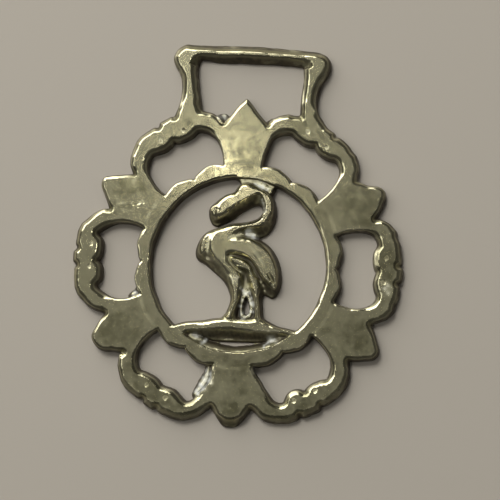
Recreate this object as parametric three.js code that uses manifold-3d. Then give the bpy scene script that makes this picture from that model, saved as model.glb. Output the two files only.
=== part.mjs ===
// A horse brass: an open, six-lobed cast medallion with a strap loop on top and a long-necked bird standing in its
// inner ring. Millimetres, +Z up. The brass lies on its flat back: z = 0 is the back, the origin is the centre of the
// inner ring, +Y points to the strap loop and +X to the right as the face is seen.

import * as THREE from 'three';
import { mergeVertices } from 'three/addons/utils/BufferGeometryUtils.js';
import Module from 'manifold-3d';

// ---------------------------------------------------------------- named sizes (mm, degrees)

const THICK = 3.3;            // rim thickness, back to crest
const ROUND = 1.05;           // radius of the rounded upper edges
const DRAFT = 0.3;            // how much wider each bar is at the back than at the shoulder
const CROWN = 0.15;           // how much the middle of a bar stands over its rounded edges

const RING_IN = 21.1;         // inner ring, bore radius at the shoulder
const RING_OUT = 24.4;        // inner ring, outer radius where the six webs start
const RING_SCALLOP = 24.95;   // outer radius at the two swellings below each window
const RING_CUSP = 23.3;       // outer radius at the cusp between the two swellings
const SCALLOP_DEG = 9.5;      // angle of a swelling from the window's middle

const NOTCH_R = 34.0;         // radius of the twelve outer notches
const NOTCH_DEG = 21.86;      // notch angle from a window's middle
const SPUR_TIP_R = 38.9;      // radius of the spur tips between the lobes
const SPUR_EXTRA = { 30: 0, 90: 1.3, 150: 0.5, 210: 0.4, 270: -0.4, 330: 0 };  // how much each tip differs from that
const NICK_DEEP = 1.15;       // depth of the two V nicks in each lobe's outer edge
const NICK_HALF_DEG = 1.5;    // half width of a nick
const TAB_PROUD = 0.35;       // how much the tab between the nicks stands out

// The six lobes, from the right round to the lower right. deg: direction of the lobe. out: outer radius.
// nick: angles of the two nicks. bump: angles and inner radii of the two swellings into the window, cusp between them.
const LOBES = [
  { deg: 0, out: 38.7, nick: [-4.5, 2.0], bump: [[-5.0, 32.6], [3.5, 32.3]], cusp: [-0.5, 33.1], corner: [33.8, 33.6] },
  { deg: 60, out: 38.9, nick: [-4.5, 2.2], bump: [[-4.5, 32.9], [4.5, 32.9]], cusp: [0.0, 33.8], corner: [34.0, 34.0] },
  { deg: 120, out: 39.5, nick: [-4.2, 3.0], bump: [[-4.5, 33.0], [4.5, 33.1]], cusp: [0.3, 33.9], corner: [34.1, 34.0] },
  { deg: 180, out: 39.75, nick: [-4.0, 2.3], bump: [[-4.5, 33.1], [4.0, 32.9]], cusp: [0.5, 33.9], corner: [35.0, 34.7] },
  { deg: 240, out: 39.6, nick: [-3.0, 3.0], bump: [[-4.0, 33.2], [5.5, 33.4]], cusp: [0.5, 33.9], corner: [34.2, 34.8] },
  { deg: 300, out: 39.2, nick: [-5.0, 3.5], bump: [[-3.5, 32.9], [4.5, 33.3]], cusp: [0.5, 34.1], corner: [34.6, 34.5] },
];
const CORNER_DEG = 10.5;      // where a window's outer corners are, from its middle
const WEBS = [30, 90, 150, 210, 270, 330];

const LOOP_TOP = 53.1;        // strap loop, top edge
const BAR_WIDE = 3.5;         // strap loop, width of the top bar
const SLOT_LEFT = -12.3;      // strap slot, left side
const SLOT_RIGHT = 13.6;      // strap slot, right side
const BAR_FALL = -0.03;       // the top bar falls this much to the right for each millimetre

const BIRD_CREST = 4.3;       // height of the bird's wing over the back
const NECK_CREST = 3.7;
const HEAD_CREST = 4.1;
const LEG_CREST = 3.2;
const LEG_WEB = 1.7;          // thickness of the thin web between the legs
const MOUND_CREST = 3.5;

// ---------------------------------------------------------------- solids

const wasm = await Module();
wasm.setup();
const rad = (d) => (d * Math.PI) / 180;
const mix = (a, b, t) => a + (b - a) * t;
const clamp = (t, a, b) => Math.min(b, Math.max(a, t));
const smooth = (a, b, x) => { const t = clamp((x - a) / (b - a), 0, 1); return t * t * (3 - 2 * t); };

// Reads a value off a short table of [where, value] stations.
function along(table, u) {
  for (let i = 1; i < table.length; i++) {
    if (u <= table[i][0]) {
      const [a, p] = table[i - 1], [b, q] = table[i];
      return mix(p, q, clamp((u - a) / (b - a), 0, 1));
    }
  }
  return table[table.length - 1][1];
}

function solid(geometry) {
  geometry.deleteAttribute('normal');
  geometry.deleteAttribute('uv');
  const g = mergeVertices(geometry, 1e-4);
  return new wasm.Manifold(new wasm.Mesh({
    numProp: 3,
    vertProperties: new Float32Array(g.attributes.position.array),
    triVerts: new Uint32Array(g.index.array),
  }));
}

function reshape(geometry, place) {
  const p = geometry.attributes.position;
  for (let i = 0; i < p.count; i++) {
    const [x, y, z] = place(p.getX(i), p.getY(i), p.getZ(i));
    p.setXYZ(i, x, y, z);
  }
  return geometry;
}

// A cast bar with rounded upper edges and a flat back. line(u) is its centre line, half(u) its half width to the right
// and to the left of the way it runs, crest(u) its height, for u from 0 to 1.
const STATIONS = [-1, -0.7, 0, 1, 0, 0.7, 1];
function bar({ line, half, crest = () => THICK, n = 12, round = ROUND, crown = CROWN, draft = DRAFT }) {
  return solid(reshape(new THREE.BoxGeometry(1, 1, 1, n, 6, 1), (bx, by, bz) => {
    const u = bx + 0.5;
    const e = 1e-3, a = line(clamp(u - e, 0, 1)), b = line(clamp(u + e, 0, 1)), c = line(u);
    const len = Math.hypot(b[0] - a[0], b[1] - a[1]);
    const left = [-(b[1] - a[1]) / len, (b[0] - a[0]) / len];
    const station = Math.round((by + 0.5) * 6);
    const side = Math.sign(station - 3);
    const [hr, hl] = half(u);
    const h = side < 0 ? hr : hl;
    const r = Math.min(round, 0.95 * h);
    const inset = side === 0 ? h : Math.abs(STATIONS[station]) === 1 ? 0 : STATIONS[station] === 0 ? r : 0.3 * r;
    const top = crest(u);
    const fall = side === 0 ? -crown : inset >= r ? 0 : r - Math.sqrt(r * r - (r - inset) ** 2);
    const foot = h + draft;
    const off = side * (bz > 0 ? h - inset : foot * Math.abs(station - 3) / 3);
    const mid = side === 0 ? (hl - hr) / 2 : 0;
    return [c[0] + left[0] * (off + mid), c[1] + left[1] * (off + mid), bz > 0 ? top - fall : 0];
  }));
}

// A smooth centre line through a few named points.
function through(...points) {
  const curve = new THREE.CatmullRomCurve3(points.map(([x, y]) => new THREE.Vector3(x, y, 0)), false, 'centripetal');
  return (u) => { const p = curve.getPoint(u); return [p.x, p.y]; };
}

// A swelling: an ellipsoid whose middle is low, so that only its upper part stands over the back.
function swell({ at, long, wide, turn, high, low = 0, seg = 20 }) {
  const g = new THREE.SphereGeometry(1, seg, Math.round(seg / 2));
  g.rotateX(Math.PI / 2);
  g.scale(long, wide, high - low);
  g.rotateZ(rad(turn));
  g.translate(at[0], at[1], low);
  return solid(g);
}

// ---------------------------------------------------------------- inner ring

// Outer radius of the ring at an angle f from the middle of the nearest window.
function ringOuter(f) {
  const a = Math.abs(f);
  if (a < SCALLOP_DEG) return mix(RING_CUSP, RING_SCALLOP, (a / SCALLOP_DEG) ** 0.62);
  return mix(RING_SCALLOP, RING_OUT, clamp((a - SCALLOP_DEG) / SCALLOP_DEG, 0, 1) ** 2);
}

function innerRing() {
  const r0 = RING_IN;
  const profile = [
    [r0 - 0.9, 0], [r0 - 0.25, THICK - ROUND], [r0 + 0.15, THICK - 0.4], [r0 + 0.9, THICK],
    [RING_OUT - 1.0, THICK], [RING_OUT - 0.3, THICK - 0.35], [RING_OUT, THICK - ROUND], [RING_OUT + DRAFT, 0],
  ].reverse().map(([r, z]) => new THREE.Vector2(r, z));
  profile.push(profile[0].clone());
  const g = new THREE.LatheGeometry(profile, 120);
  g.rotateX(Math.PI / 2);
  // x, y, z now have the lathe's axis along Z; the outer half of the profile follows the scallops
  return solid(reshape(g, (x, y, z) => {
    const r = Math.hypot(x, y), deg = (Math.atan2(y, x) * 180) / Math.PI;
    const f = ((deg + 390) % 60) - 30;
    const share = clamp((r - RING_IN - 0.9) / (RING_OUT - 1.0 - RING_IN - 0.9), 0, 1);
    const s = 1 + (share * (ringOuter(f) - RING_OUT)) / r;
    return [x * s, y * s, z];
  }));
}

// ---------------------------------------------------------------- webs and spurs

// Half width of a web, from the ring to the notches, and of the spur that it runs out into.
const WEB_HALF = [[23, 4.6], [24.4, 4.65], [26.5, 4.95], [29, 5.6], [31, 6.4], [32.8, 6.2], [34, 4.75], [35.5, 3.75], [37, 2.75], [38.2, 1.85], [SPUR_TIP_R, 1.0]];

function web(deg) {
  const c = Math.cos(rad(deg)), s = Math.sin(rad(deg));
  const tip = SPUR_TIP_R + SPUR_EXTRA[deg];
  const sharp = deg === 90 ? 0.35 : 1;
  return bar({
    line: (u) => { const r = mix(23, tip, u); return [r * c, r * s]; },
    half: (u) => { const w = along(WEB_HALF, mix(23, SPUR_TIP_R, u)) * mix(1, sharp, smooth(0.9, 1, u)); return [w, w]; },
    crest: (u) => THICK - (deg === 270 ? 1.0 * smooth(0.78, 1, u) : 0.35 * smooth(0.85, 1, u)),
    n: 16,
  });
}

// ---------------------------------------------------------------- lobes

function lobeOuter(l, f) {
  const a = Math.abs(f);
  let r = along([[0, l.out], [10, l.out - 0.05], [12.5, l.out - 0.45], [14.5, 38.4], [17.5, 37.3], [19.5, 36.0], [NOTCH_DEG, NOTCH_R]], a);
  for (const k of l.nick) r -= NICK_DEEP * clamp(1 - Math.abs(f - k) / NICK_HALF_DEG, 0, 1);
  if (f > l.nick[0] + NICK_HALF_DEG && f < l.nick[1] - NICK_HALF_DEG) r += TAB_PROUD;
  return r;
}

function lobeInner(l, f) {
  const side = f < 0 ? 0 : 1;
  const table = f < 0
    ? [[-NOTCH_DEG, 30.5], [-17, 31.5], [-14, 33.3], [-CORNER_DEG, l.corner[0]], [-8, l.bump[0][1] + 0.35], [l.bump[0][0], l.bump[0][1]], [l.cusp[0] - 1.2, l.bump[0][1] + 0.35], [l.cusp[0], l.cusp[1]], [0.01, l.cusp[1]]]
    : [[0, l.cusp[1]], [l.cusp[0] + 0.01, l.cusp[1]], [l.cusp[0] + 1.4, l.bump[1][1] + 0.35], [l.bump[1][0], l.bump[1][1]], [8, l.bump[1][1] + 0.35], [CORNER_DEG, l.corner[side]], [14, 33.3], [17, 31.5], [NOTCH_DEG, 30.5]];
  return along(table, f);
}

function lobe(l) {
  // stations crowd round the nicks and the cusp, where the edge turns sharply
  const marks = [-NOTCH_DEG, -19.5, -17, -14.5, -12.3, -CORNER_DEG, -8];
  for (const k of l.nick) marks.push(k - NICK_HALF_DEG, k, k + NICK_HALF_DEG);
  marks.push((l.nick[0] + l.nick[1]) / 2, 6.8, 8.6, CORNER_DEG, 12.3, 14.5, 17, 19.5, NOTCH_DEG);
  marks.sort((p, q) => p - q);
  const at = (u) => { const t = u * (marks.length - 1), i = Math.min(Math.floor(t), marks.length - 2); return mix(marks[i], marks[i + 1], t - i); };
  return solid(reshape(new THREE.BoxGeometry(1, 1, 1, marks.length - 1, 6, 1), (bx, by, bz) => {
    const f = at(0.5 - bx);
    const t = rad(l.deg + f);
    const station = Math.round((by + 0.5) * 6);
    const inn = lobeInner(l, f), out = lobeOuter(l, f), mid = (inn + out) / 2, h = (out - inn) / 2;
    const r = Math.min(ROUND, 0.95 * h);
    const side = Math.sign(station - 3), edge = Math.abs(station - 3);
    const inset = edge === 3 ? 0 : edge === 2 ? 0.3 * r : edge === 1 ? r : h;
    const fall = side === 0 ? -CROWN : inset >= r ? 0 : r - Math.sqrt(r * r - (r - inset) ** 2);
    const off = side * (bz > 0 ? h - inset : ((h + DRAFT) * edge) / 3);
    return [(mid + off) * Math.cos(t), (mid + off) * Math.sin(t), bz > 0 ? THICK - fall : 0];
  }));
}

// ---------------------------------------------------------------- strap loop

const slotTop = (x) => LOOP_TOP - BAR_WIDE + BAR_FALL * (x - 0.5);
function strapLoop() {
  const top = (x) => LOOP_TOP + BAR_FALL * (x - 1) + 0.25 * Math.cos((x - 1) / 6);
  const span = [-16.6, 17.6];
  const cross = bar({
    line: (u) => { const x = mix(span[0], span[1], u); return [x, (top(x) + slotTop(x)) / 2]; },
    half: (u) => { const x = mix(span[0], span[1], u), h = (top(x) - slotTop(x)) / 2; return [h, h]; },
    n: 12,
  });
  // each post is given by the height over the ring's centre and its outer edge there
  const post = (inner, edge) => bar({
    line: (u) => { const y = mix(edge[0][0], edge[edge.length - 1][0], u); return [(inner + along(edge, y)) / 2, y]; },
    half: (u) => { const y = mix(edge[0][0], edge[edge.length - 1][0], u), h = Math.abs(inner - along(edge, y)) / 2; return [h, h]; },
    n: 16,
  });
  const left = post(SLOT_LEFT, [[32.8, -18.0], [36.3, -17.0], [38, -16.2], [40, -15.9], [43, -15.8], [45, -16.2], [47, -17.0], [48.5, -17.8], [50, -18.3], [51.3, -17.9], [52.6, -16.9]]);
  const right = post(SLOT_RIGHT, [[32.4, 18.9], [34.4, 19.3], [35.5, 18.5], [37, 17.5], [39, 16.9], [41, 16.8], [43, 17.2], [45, 17.9], [47, 19.0], [48.6, 19.7], [50.2, 19.6], [51.2, 18.8], [51.8, 17.9]]);
  // rounds off the upper right corner, where the bar meets the post
  const corner = swell({ at: [16.6, 50.2], long: 2.9, wide: 2.6, turn: -35, high: 3.6, seg: 16 });
  // the strap bears on a flat wall on the under side of the bar
  const flat = new THREE.BoxGeometry(SLOT_RIGHT - SLOT_LEFT - 0.4, 3, 4 * THICK);
  flat.translate(0, -1.5, 0);
  flat.rotateZ(Math.atan(BAR_FALL));
  const middle = (SLOT_LEFT + SLOT_RIGHT) / 2;
  flat.translate(middle, slotTop(middle), 0);
  return cross.add(left).add(right).add(corner).subtract(solid(flat));
}

// ---------------------------------------------------------------- mound

function mound() {
  return bar({
    line: through([-15.2, -15.8], [-10, -15.0], [-5, -14.5], [0, -13.95], [5, -14.2], [9, -15.0], [15.4, -15.6]),
    half: (u) => { const w = along([[0, 0.9], [0.15, 1.0], [0.35, 1.3], [0.5, 1.0], [0.65, 1.35], [0.85, 1.0], [1, 0.8]], u); return [w, w]; },
    crest: (u) => MOUND_CREST - 0.5 * Math.abs(2 * u - 1) ** 2,
    n: 20, draft: 0.75,
  }).add(swell({ at: [-10.6, -17.0], long: 3.3, wide: 1.5, turn: -33, high: 2.0, seg: 12 }))
    .add(swell({ at: [11.4, -16.6], long: 3.3, wide: 1.5, turn: 33, high: 2.0, seg: 12 }));
}

// ---------------------------------------------------------------- bird

function bird() {
  const parts = [];
  // breast, trunk and tail
  parts.push(swell({ at: [-5.5, 3.4], long: 5.0, wide: 4.5, turn: 25, high: 3.9, seg: 16 }));
  parts.push(swell({ at: [0.4, 1.6], long: 8.5, wide: 5.0, turn: -27, high: 4.0, seg: 20 }));
  parts.push(bar({
    line: through([3.5, 0.4], [6.3, -1.6], [8.3, -4.6], [8.9, -7.3]),
    half: (u) => [along([[0, 2.6], [0.35, 2.6], [0.7, 1.7], [1, 0.7]], u), along([[0, 3.2], [0.35, 3.0], [0.7, 1.9], [1, 0.8]], u)],
    crest: (u) => mix(3.4, 2.6, u), n: 10,
  }));
  // three wing feathers, each a crowned bar that tapers to a blunt tip
  const feather = (line, wide, high) => bar({
    line, n: 10, draft: 0, round: 1.2, crown: 0.25,
    half: (u) => { const w = wide * (0.45 + 0.55 * Math.sin(Math.PI * clamp(0.12 + 0.8 * u, 0, 1))); return [w, w]; },
    crest: (u) => mix(high, high - 0.5, u),
  });
  parts.push(feather(through([-0.8, 5.9], [3.2, 4.9], [6.3, 2.7], [8.4, -0.2], [9.5, -3.0]), 1.45, BIRD_CREST - 0.35));
  parts.push(feather(through([-4.6, 5.0], [-1.0, 4.6], [2.4, 2.5], [5.4, -0.6], [8.0, -3.6]), 1.8, BIRD_CREST));
  parts.push(feather(through([-4.2, 2.3], [-1.6, 1.5], [0.9, 0.5], [3.2, -0.8]), 1.15, BIRD_CREST - 0.5));
  // neck: from the back of the head round to the breast
  parts.push(bar({
    line: through([1.6, 17.9], [4.0, 18.0], [5.7, 17.1], [6.8, 15.6], [7.05, 14.0], [6.7, 12.4], [5.6, 10.9], [3.8, 9.9], [1.6, 9.3], [-0.8, 8.7], [-3.2, 7.6], [-5.4, 6.0]),
    half: (u) => { const w = along([[0, 1.5], [0.14, 1.15], [0.4, 1.4], [0.7, 1.2], [0.85, 1.4], [1, 1.9]], u); return [w, w]; },
    crest: () => NECK_CREST, n: 30, round: 1.2,
  }));
  // a fillet joins the bend of the neck to the ring, and another closes the crook over the back
  parts.push(swell({ at: [5.0, 19.2], long: 2.9, wide: 1.9, turn: -20, high: 2.7, seg: 12 }));
  parts.push(swell({ at: [2.3, 7.3], long: 2.9, wide: 1.3, turn: -12, high: 2.3, seg: 12 }));
  // head and bill
  parts.push(swell({ at: [1.3, 17.75], long: 2.5, wide: 1.95, turn: 25, high: HEAD_CREST, seg: 14 }));
  parts.push(bar({
    line: through([2.0, 17.7], [-1.0, 16.1], [-4.1, 14.3], [-7.2, 12.4]),
    half: (u) => [along([[0, 1.5], [0.3, 1.75], [0.7, 1.55], [0.93, 1.1], [1, 0.5]], u), along([[0, 1.6], [0.26, 1.3], [0.5, 1.55], [0.75, 1.45], [0.93, 1.1], [1, 0.6]], u)],
    crest: (u) => mix(HEAD_CREST - 0.2, 3.0, u), n: 14,
  }));
  // legs, each spreading to a foot on the mound
  const leg = (line, thigh) => bar({
    line, n: 9, round: 0.9, draft: 0.45,
    half: (u) => { const w = along([[0, 1.1], [0.25, 0.85], [0.8, 0.8], [1, 1.5]], u); return [w + thigh * (1 - smooth(0, 0.55, u)), w]; },
    crest: () => LEG_CREST,
  });
  parts.push(leg(through([-1.6, -0.6], [-0.9, -3.4], [-0.1, -6.2], [0.1, -8.6], [-0.4, -11.0], [-1.0, -13.4]), 1.6));
  parts.push(leg(through([2.8, -0.6], [3.9, -3.6], [4.9, -6.6], [5.3, -9.0], [5.4, -11.2], [5.6, -13.4]), 0));
  // the notch between the right leg and the tail is filled low down
  parts.push(swell({ at: [6.1, -4.4], long: 1.9, wide: 1.7, turn: 0, high: 2.0, seg: 10 }));
  // thin web between the legs, with a keyhole through it
  const keyhole = new THREE.Shape();
  keyhole.moveTo(1.75, -12.3);
  keyhole.lineTo(3.25, -12.3);
  keyhole.bezierCurveTo(3.7, -10.2, 3.3, -8.2, 2.55, -7.9);
  keyhole.bezierCurveTo(1.7, -8.1, 1.5, -10.2, 1.75, -12.3);
  const holeBody = new THREE.ExtrudeGeometry(keyhole, { depth: 8, bevelEnabled: false, curveSegments: 5 });
  holeBody.translate(0, 0, -2);
  const webPlate = bar({
    line: through([1.6, -1.0], [2.2, -7.0], [2.4, -13.6]), half: () => [2.6, 2.6], crest: () => LEG_WEB, n: 4, round: 0.3, crown: 0, draft: 0,
  }).subtract(solid(holeBody));
  parts.push(webPlate);
  return parts.reduce((a, b) => a.add(b));
}

// ---------------------------------------------------------------- the whole casting

function casting() {
  let all = innerRing();
  for (const deg of WEBS) all = all.add(web(deg));
  for (const l of LOBES) all = all.add(lobe(l));
  all = all.add(strapLoop()).add(mound()).add(bird());
  // the back is one flat face
  const under = new THREE.BoxGeometry(200, 200, 20);
  under.translate(0, 0, -10);
  all = all.subtract(solid(under));
  return all.asOriginal().simplify(0.03);
}

const mesh = casting().getMesh();
const geometry = new THREE.BufferGeometry();
geometry.setAttribute('position', new THREE.BufferAttribute(new Float32Array(mesh.vertProperties), 3));
geometry.setIndex(new THREE.BufferAttribute(new Uint32Array(mesh.triVerts), 1));
geometry.computeVertexNormals();

const brass = new THREE.MeshStandardMaterial({ color: 0x8f8a62, roughness: 0.34, metalness: 1.0 });
const horseBrass = new THREE.Mesh(geometry, brass);
horseBrass.name = 'horse_brass';

const group = new THREE.Group();
group.add(horseBrass);
export default group;
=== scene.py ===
import math

import bpy
import numpy as np
from mathutils import Matrix, Vector


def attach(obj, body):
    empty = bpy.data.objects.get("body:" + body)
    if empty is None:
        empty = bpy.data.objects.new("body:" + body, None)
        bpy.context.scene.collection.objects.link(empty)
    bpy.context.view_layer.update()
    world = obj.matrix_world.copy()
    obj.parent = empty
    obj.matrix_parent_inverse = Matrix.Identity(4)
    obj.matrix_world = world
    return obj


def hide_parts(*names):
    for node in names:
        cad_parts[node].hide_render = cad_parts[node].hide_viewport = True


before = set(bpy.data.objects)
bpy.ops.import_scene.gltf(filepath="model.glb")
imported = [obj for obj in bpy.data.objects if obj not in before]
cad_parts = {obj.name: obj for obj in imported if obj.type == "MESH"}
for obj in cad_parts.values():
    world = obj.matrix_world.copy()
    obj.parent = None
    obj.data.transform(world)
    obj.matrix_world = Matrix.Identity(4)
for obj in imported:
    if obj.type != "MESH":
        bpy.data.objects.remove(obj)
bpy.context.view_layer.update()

# The casting is worked out in millimetres on a fine plan grid, and turned into metres when the mesh is made.
THICK = 3.3            # top plane of the rim
RING_IN = 21.1         # radius of the round opening
DRAFT = 0.085          # walls lean out towards the back, mm per mm
CELL = 0.125           # plan grid
VOXEL = 0.21           # mesh grid

X0, X1, Y0, Y1 = -43.0, 43.0, -43.0, 57.0
NX = int(round((X1 - X0) / CELL)) + 1
NY = int(round((Y1 - Y0) / CELL)) + 1
xs = X0 + CELL * np.arange(NX)
ys = Y0 + CELL * np.arange(NY)
GX, GY = np.meshgrid(xs, ys)
RR = np.hypot(GX, GY)
AA = np.degrees(np.arctan2(GY, GX)) % 360.0


# ---------------------------------------------------------------- plan helpers

def smooth(a, b, t):
    u = np.clip((t - a) / (b - a), 0.0, 1.0)
    return u * u * (3 - 2 * u)


def noise(scale, seed):
    """Smooth noise of unit spread, with lumps about `scale` mm wide."""
    w = np.random.default_rng(seed).standard_normal((NY, NX))
    ky = np.fft.fftfreq(NY, CELL)[:, None]
    kx = np.fft.rfftfreq(NX, CELL)[None, :]
    s = scale / 4.0
    n = np.fft.irfft2(np.fft.rfft2(w) * np.exp(-2 * (np.pi * s) ** 2 * (kx ** 2 + ky ** 2)), s=(NY, NX))
    n -= n.mean()
    return n / n.std()


def blur(a, sigma):
    r = max(1, int(math.ceil(3 * sigma / CELL)))
    k = np.exp(-0.5 * (np.arange(-r, r + 1) * CELL / sigma) ** 2)
    k /= k.sum()
    for axis in (0, 1):
        pad = [(0, 0), (0, 0)]
        pad[axis] = (r, r)
        p = np.pad(a, pad, mode="edge")
        n = a.shape[axis]
        out = np.zeros_like(a)
        for i, w in enumerate(k):
            out += w * (p[i:i + n] if axis == 0 else p[:, i:i + n])
        a = out
    return a


def smin(a, b, k):
    h = np.clip(0.5 + 0.5 * (b - a) / k, 0, 1)
    return b + (a - b) * h - k * h * (1 - h)


def smax(a, b, k):
    return -smin(-a, -b, k)


def curve(points, closed=False, step=0.35):
    """A smooth line through the points; x and y come first, and any further columns go along."""
    p = np.asarray(points, float)
    n = len(p)
    if closed:
        q = np.vstack([p[-1:], p, p[:2]])
    else:
        q = np.vstack([2 * p[:1] - p[1:2], p, 2 * p[-1:] - p[-2:-1]])
    out = []
    for i in range(n if closed else n - 1):
        a, b, c, d = q[i:i + 4]
        gaps = [max(math.hypot(*(v - u)[:2]), 1e-4) ** 0.5 for u, v in ((a, b), (b, c), (c, d))]
        t0, t1, t2, t3 = 0.0, gaps[0], gaps[0] + gaps[1], sum(gaps)
        k = max(1, int(math.ceil(math.hypot(*(c - b)[:2]) / step)))
        s = (t1 + (t2 - t1) * np.arange(k) / k)[:, None]
        a1 = (t1 - s) / (t1 - t0) * a + (s - t0) / (t1 - t0) * b
        a2 = (t2 - s) / (t2 - t1) * b + (s - t1) / (t2 - t1) * c
        a3 = (t3 - s) / (t3 - t2) * c + (s - t2) / (t3 - t2) * d
        b1 = (t2 - s) / (t2 - t0) * a1 + (s - t0) / (t2 - t0) * a2
        b2 = (t3 - s) / (t3 - t1) * a2 + (s - t1) / (t3 - t1) * a3
        out.append((t2 - s) / (t2 - t1) * b1 + (s - t1) / (t2 - t1) * b2)
    if not closed:
        out.append(p[-1:])
    return np.vstack(out)


def window(a, b, reach):
    i0 = max(0, int((min(a[0], b[0]) - reach - X0) / CELL))
    i1 = min(NX, int((max(a[0], b[0]) + reach - X0) / CELL) + 2)
    j0 = max(0, int((min(a[1], b[1]) - reach - Y0) / CELL))
    j1 = min(NY, int((max(a[1], b[1]) + reach - Y0) / CELL) + 2)
    return i0, i1, j0, j1


def near(points, closed=False, reach=3.2):
    """Distance from each plan cell to a line, up to `reach`."""
    out = np.full((NY, NX), reach)
    p = np.asarray(points, float)[:, :2]
    q = np.roll(p, -1, 0)
    if not closed:
        p, q = p[:-1], q[:-1]
    for a, b in zip(p, q):
        i0, i1, j0, j1 = window(a, b, reach)
        dx, dy = b - a
        gx, gy = xs[None, i0:i1] - a[0], ys[j0:j1, None] - a[1]
        t = np.clip((gx * dx + gy * dy) / max(dx * dx + dy * dy, 1e-9), 0, 1)
        d = np.hypot(gx - t * dx, gy - t * dy)
        np.minimum(out[j0:j1, i0:i1], d, out=out[j0:j1, i0:i1])
    return out


def inside(points):
    p = np.asarray(points, float)[:, :2]
    hits = np.zeros((NY, NX + 1), int)
    for a, b in zip(p, np.roll(p, -1, 0)):
        if a[1] == b[1]:
            continue
        u, v = (a, b) if a[1] < b[1] else (b, a)
        j0, j1 = int(math.ceil((u[1] - Y0) / CELL)), int(math.ceil((v[1] - Y0) / CELL))
        j = np.arange(max(j0, 0), min(j1, NY))
        x = u[0] + (ys[j] - u[1]) * (v[0] - u[0]) / (v[1] - u[1])
        i = np.clip(np.ceil((x - X0) / CELL).astype(int), 0, NX)
        np.add.at(hits, (j, i), 1)
    return (np.cumsum(hits, axis=1)[:, :NX] % 2).astype(bool)


def outline(points, reach=3.2):
    """Signed distance to a closed outline, negative inside it."""
    d = near(points, closed=True, reach=reach)
    return np.where(inside(points), -d, d)


def sweep(rows, drop, reach=3.0, step=0.3):
    """A rounded cord laid on the plan: rows are x, y, half width, crest height. Gives its outline distance and height."""
    p = curve(rows, step=step)
    s = np.full((NY, NX), reach)
    c = np.full((NY, NX), -9.0)
    for a, b in zip(p[:-1], p[1:]):
        far = reach + max(a[2], b[2])
        i0, i1, j0, j1 = window(a, b, far)
        dx, dy = (b - a)[:2]
        gx, gy = xs[None, i0:i1] - a[0], ys[j0:j1, None] - a[1]
        t = np.clip((gx * dx + gy * dy) / max(dx * dx + dy * dy, 1e-9), 0, 1)
        r = np.hypot(gx - t * dx, gy - t * dy)
        w = a[2] + t * (b[2] - a[2])
        h = a[3] + t * (b[3] - a[3])
        q = r / w
        z = h - drop * np.where(q < 1, q * q, 1 + 2.4 * (q - 1))
        win = (slice(j0, j1), slice(i0, i1))
        np.minimum(s[win], r - w, out=s[win])
        np.maximum(c[win], z, out=c[win])
    return s, c


def dome(x, y, long, wide, turn, high, drop):
    a = math.radians(turn)
    u = (GX - x) * math.cos(a) + (GY - y) * math.sin(a)
    v = -(GX - x) * math.sin(a) + (GY - y) * math.cos(a)
    q = np.hypot(u / long, v / wide)
    s = (q - 1) * min(long, wide)
    return np.minimum(s, 3.0), high - drop * np.where(q < 1, q * q, 1 + 2.4 * (q - 1))


def relief(box, lines, step=0.5, soft=0.16):
    """Heights drawn as lines of x, y, z, carried smoothly over the box between them."""
    pts = []
    for line in lines:
        line = np.asarray(line, float)
        pts.append(curve(line, step=step) if len(line) > 1 else line)
    pts = np.vstack(pts)
    keep = []
    for q in pts:
        if all((q[0] - r[0]) ** 2 + (q[1] - r[1]) ** 2 > 0.03 for r in keep):
            keep.append(q)
    pts = np.array(keep)
    far = np.hypot(pts[:, None, 0] - pts[None, :, 0], pts[:, None, 1] - pts[None, :, 1])
    n = len(pts)
    m = np.zeros((n + 1, n + 1))
    m[:n, :n] = far
    m[:n, :n] -= 0.03 * np.eye(n)
    m[:n, n] = m[n, :n] = 1
    k = np.linalg.solve(m, np.append(pts[:, 2], 0))
    i0, j0 = int((box[0] - X0) / CELL), int((box[1] - Y0) / CELL)
    i1, j1 = int((box[2] - X0) / CELL), int((box[3] - Y0) / CELL)
    gx, gy = GX[j0:j1, i0:i1], GY[j0:j1, i0:i1]
    z = np.full(gx.shape, k[n])
    for w, q in zip(k[:n], pts):
        z += w * np.hypot(gx - q[0], gy - q[1])
    full = np.full((NY, NX), -9.0)
    full[j0:j1, i0:i1] = z
    full = np.where(full < -8, z.min(), full)
    return blur(full, soft)


# ---------------------------------------------------------------- outlines

LOBES = [
    dict(deg=0, out=38.7, nick=(-4.5, 2.0), bump=((-5.0, 32.6), (3.5, 32.3)), cusp=(-0.5, 33.1), corner=(33.8, 33.6)),
    dict(deg=60, out=38.9, nick=(-4.5, 2.2), bump=((-4.5, 32.9), (4.5, 32.9)), cusp=(0.0, 33.8), corner=(34.0, 34.0)),
    dict(deg=120, out=39.5, nick=(-4.2, 3.0), bump=((-4.5, 33.0), (4.5, 33.1)), cusp=(0.3, 33.9), corner=(34.1, 34.0)),
    dict(deg=180, out=39.75, nick=(-4.0, 2.3), bump=((-4.5, 33.1), (4.0, 32.9)), cusp=(0.5, 33.9), corner=(35.0, 34.7)),
    dict(deg=240, out=39.6, nick=(-3.0, 3.0), bump=((-4.0, 33.2), (5.5, 33.4)), cusp=(0.5, 33.9), corner=(34.2, 34.8)),
    dict(deg=300, out=39.2, nick=(-5.0, 3.5), bump=((-3.5, 32.9), (4.5, 33.3)), cusp=(0.5, 34.1), corner=(34.6, 34.5)),
]
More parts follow.
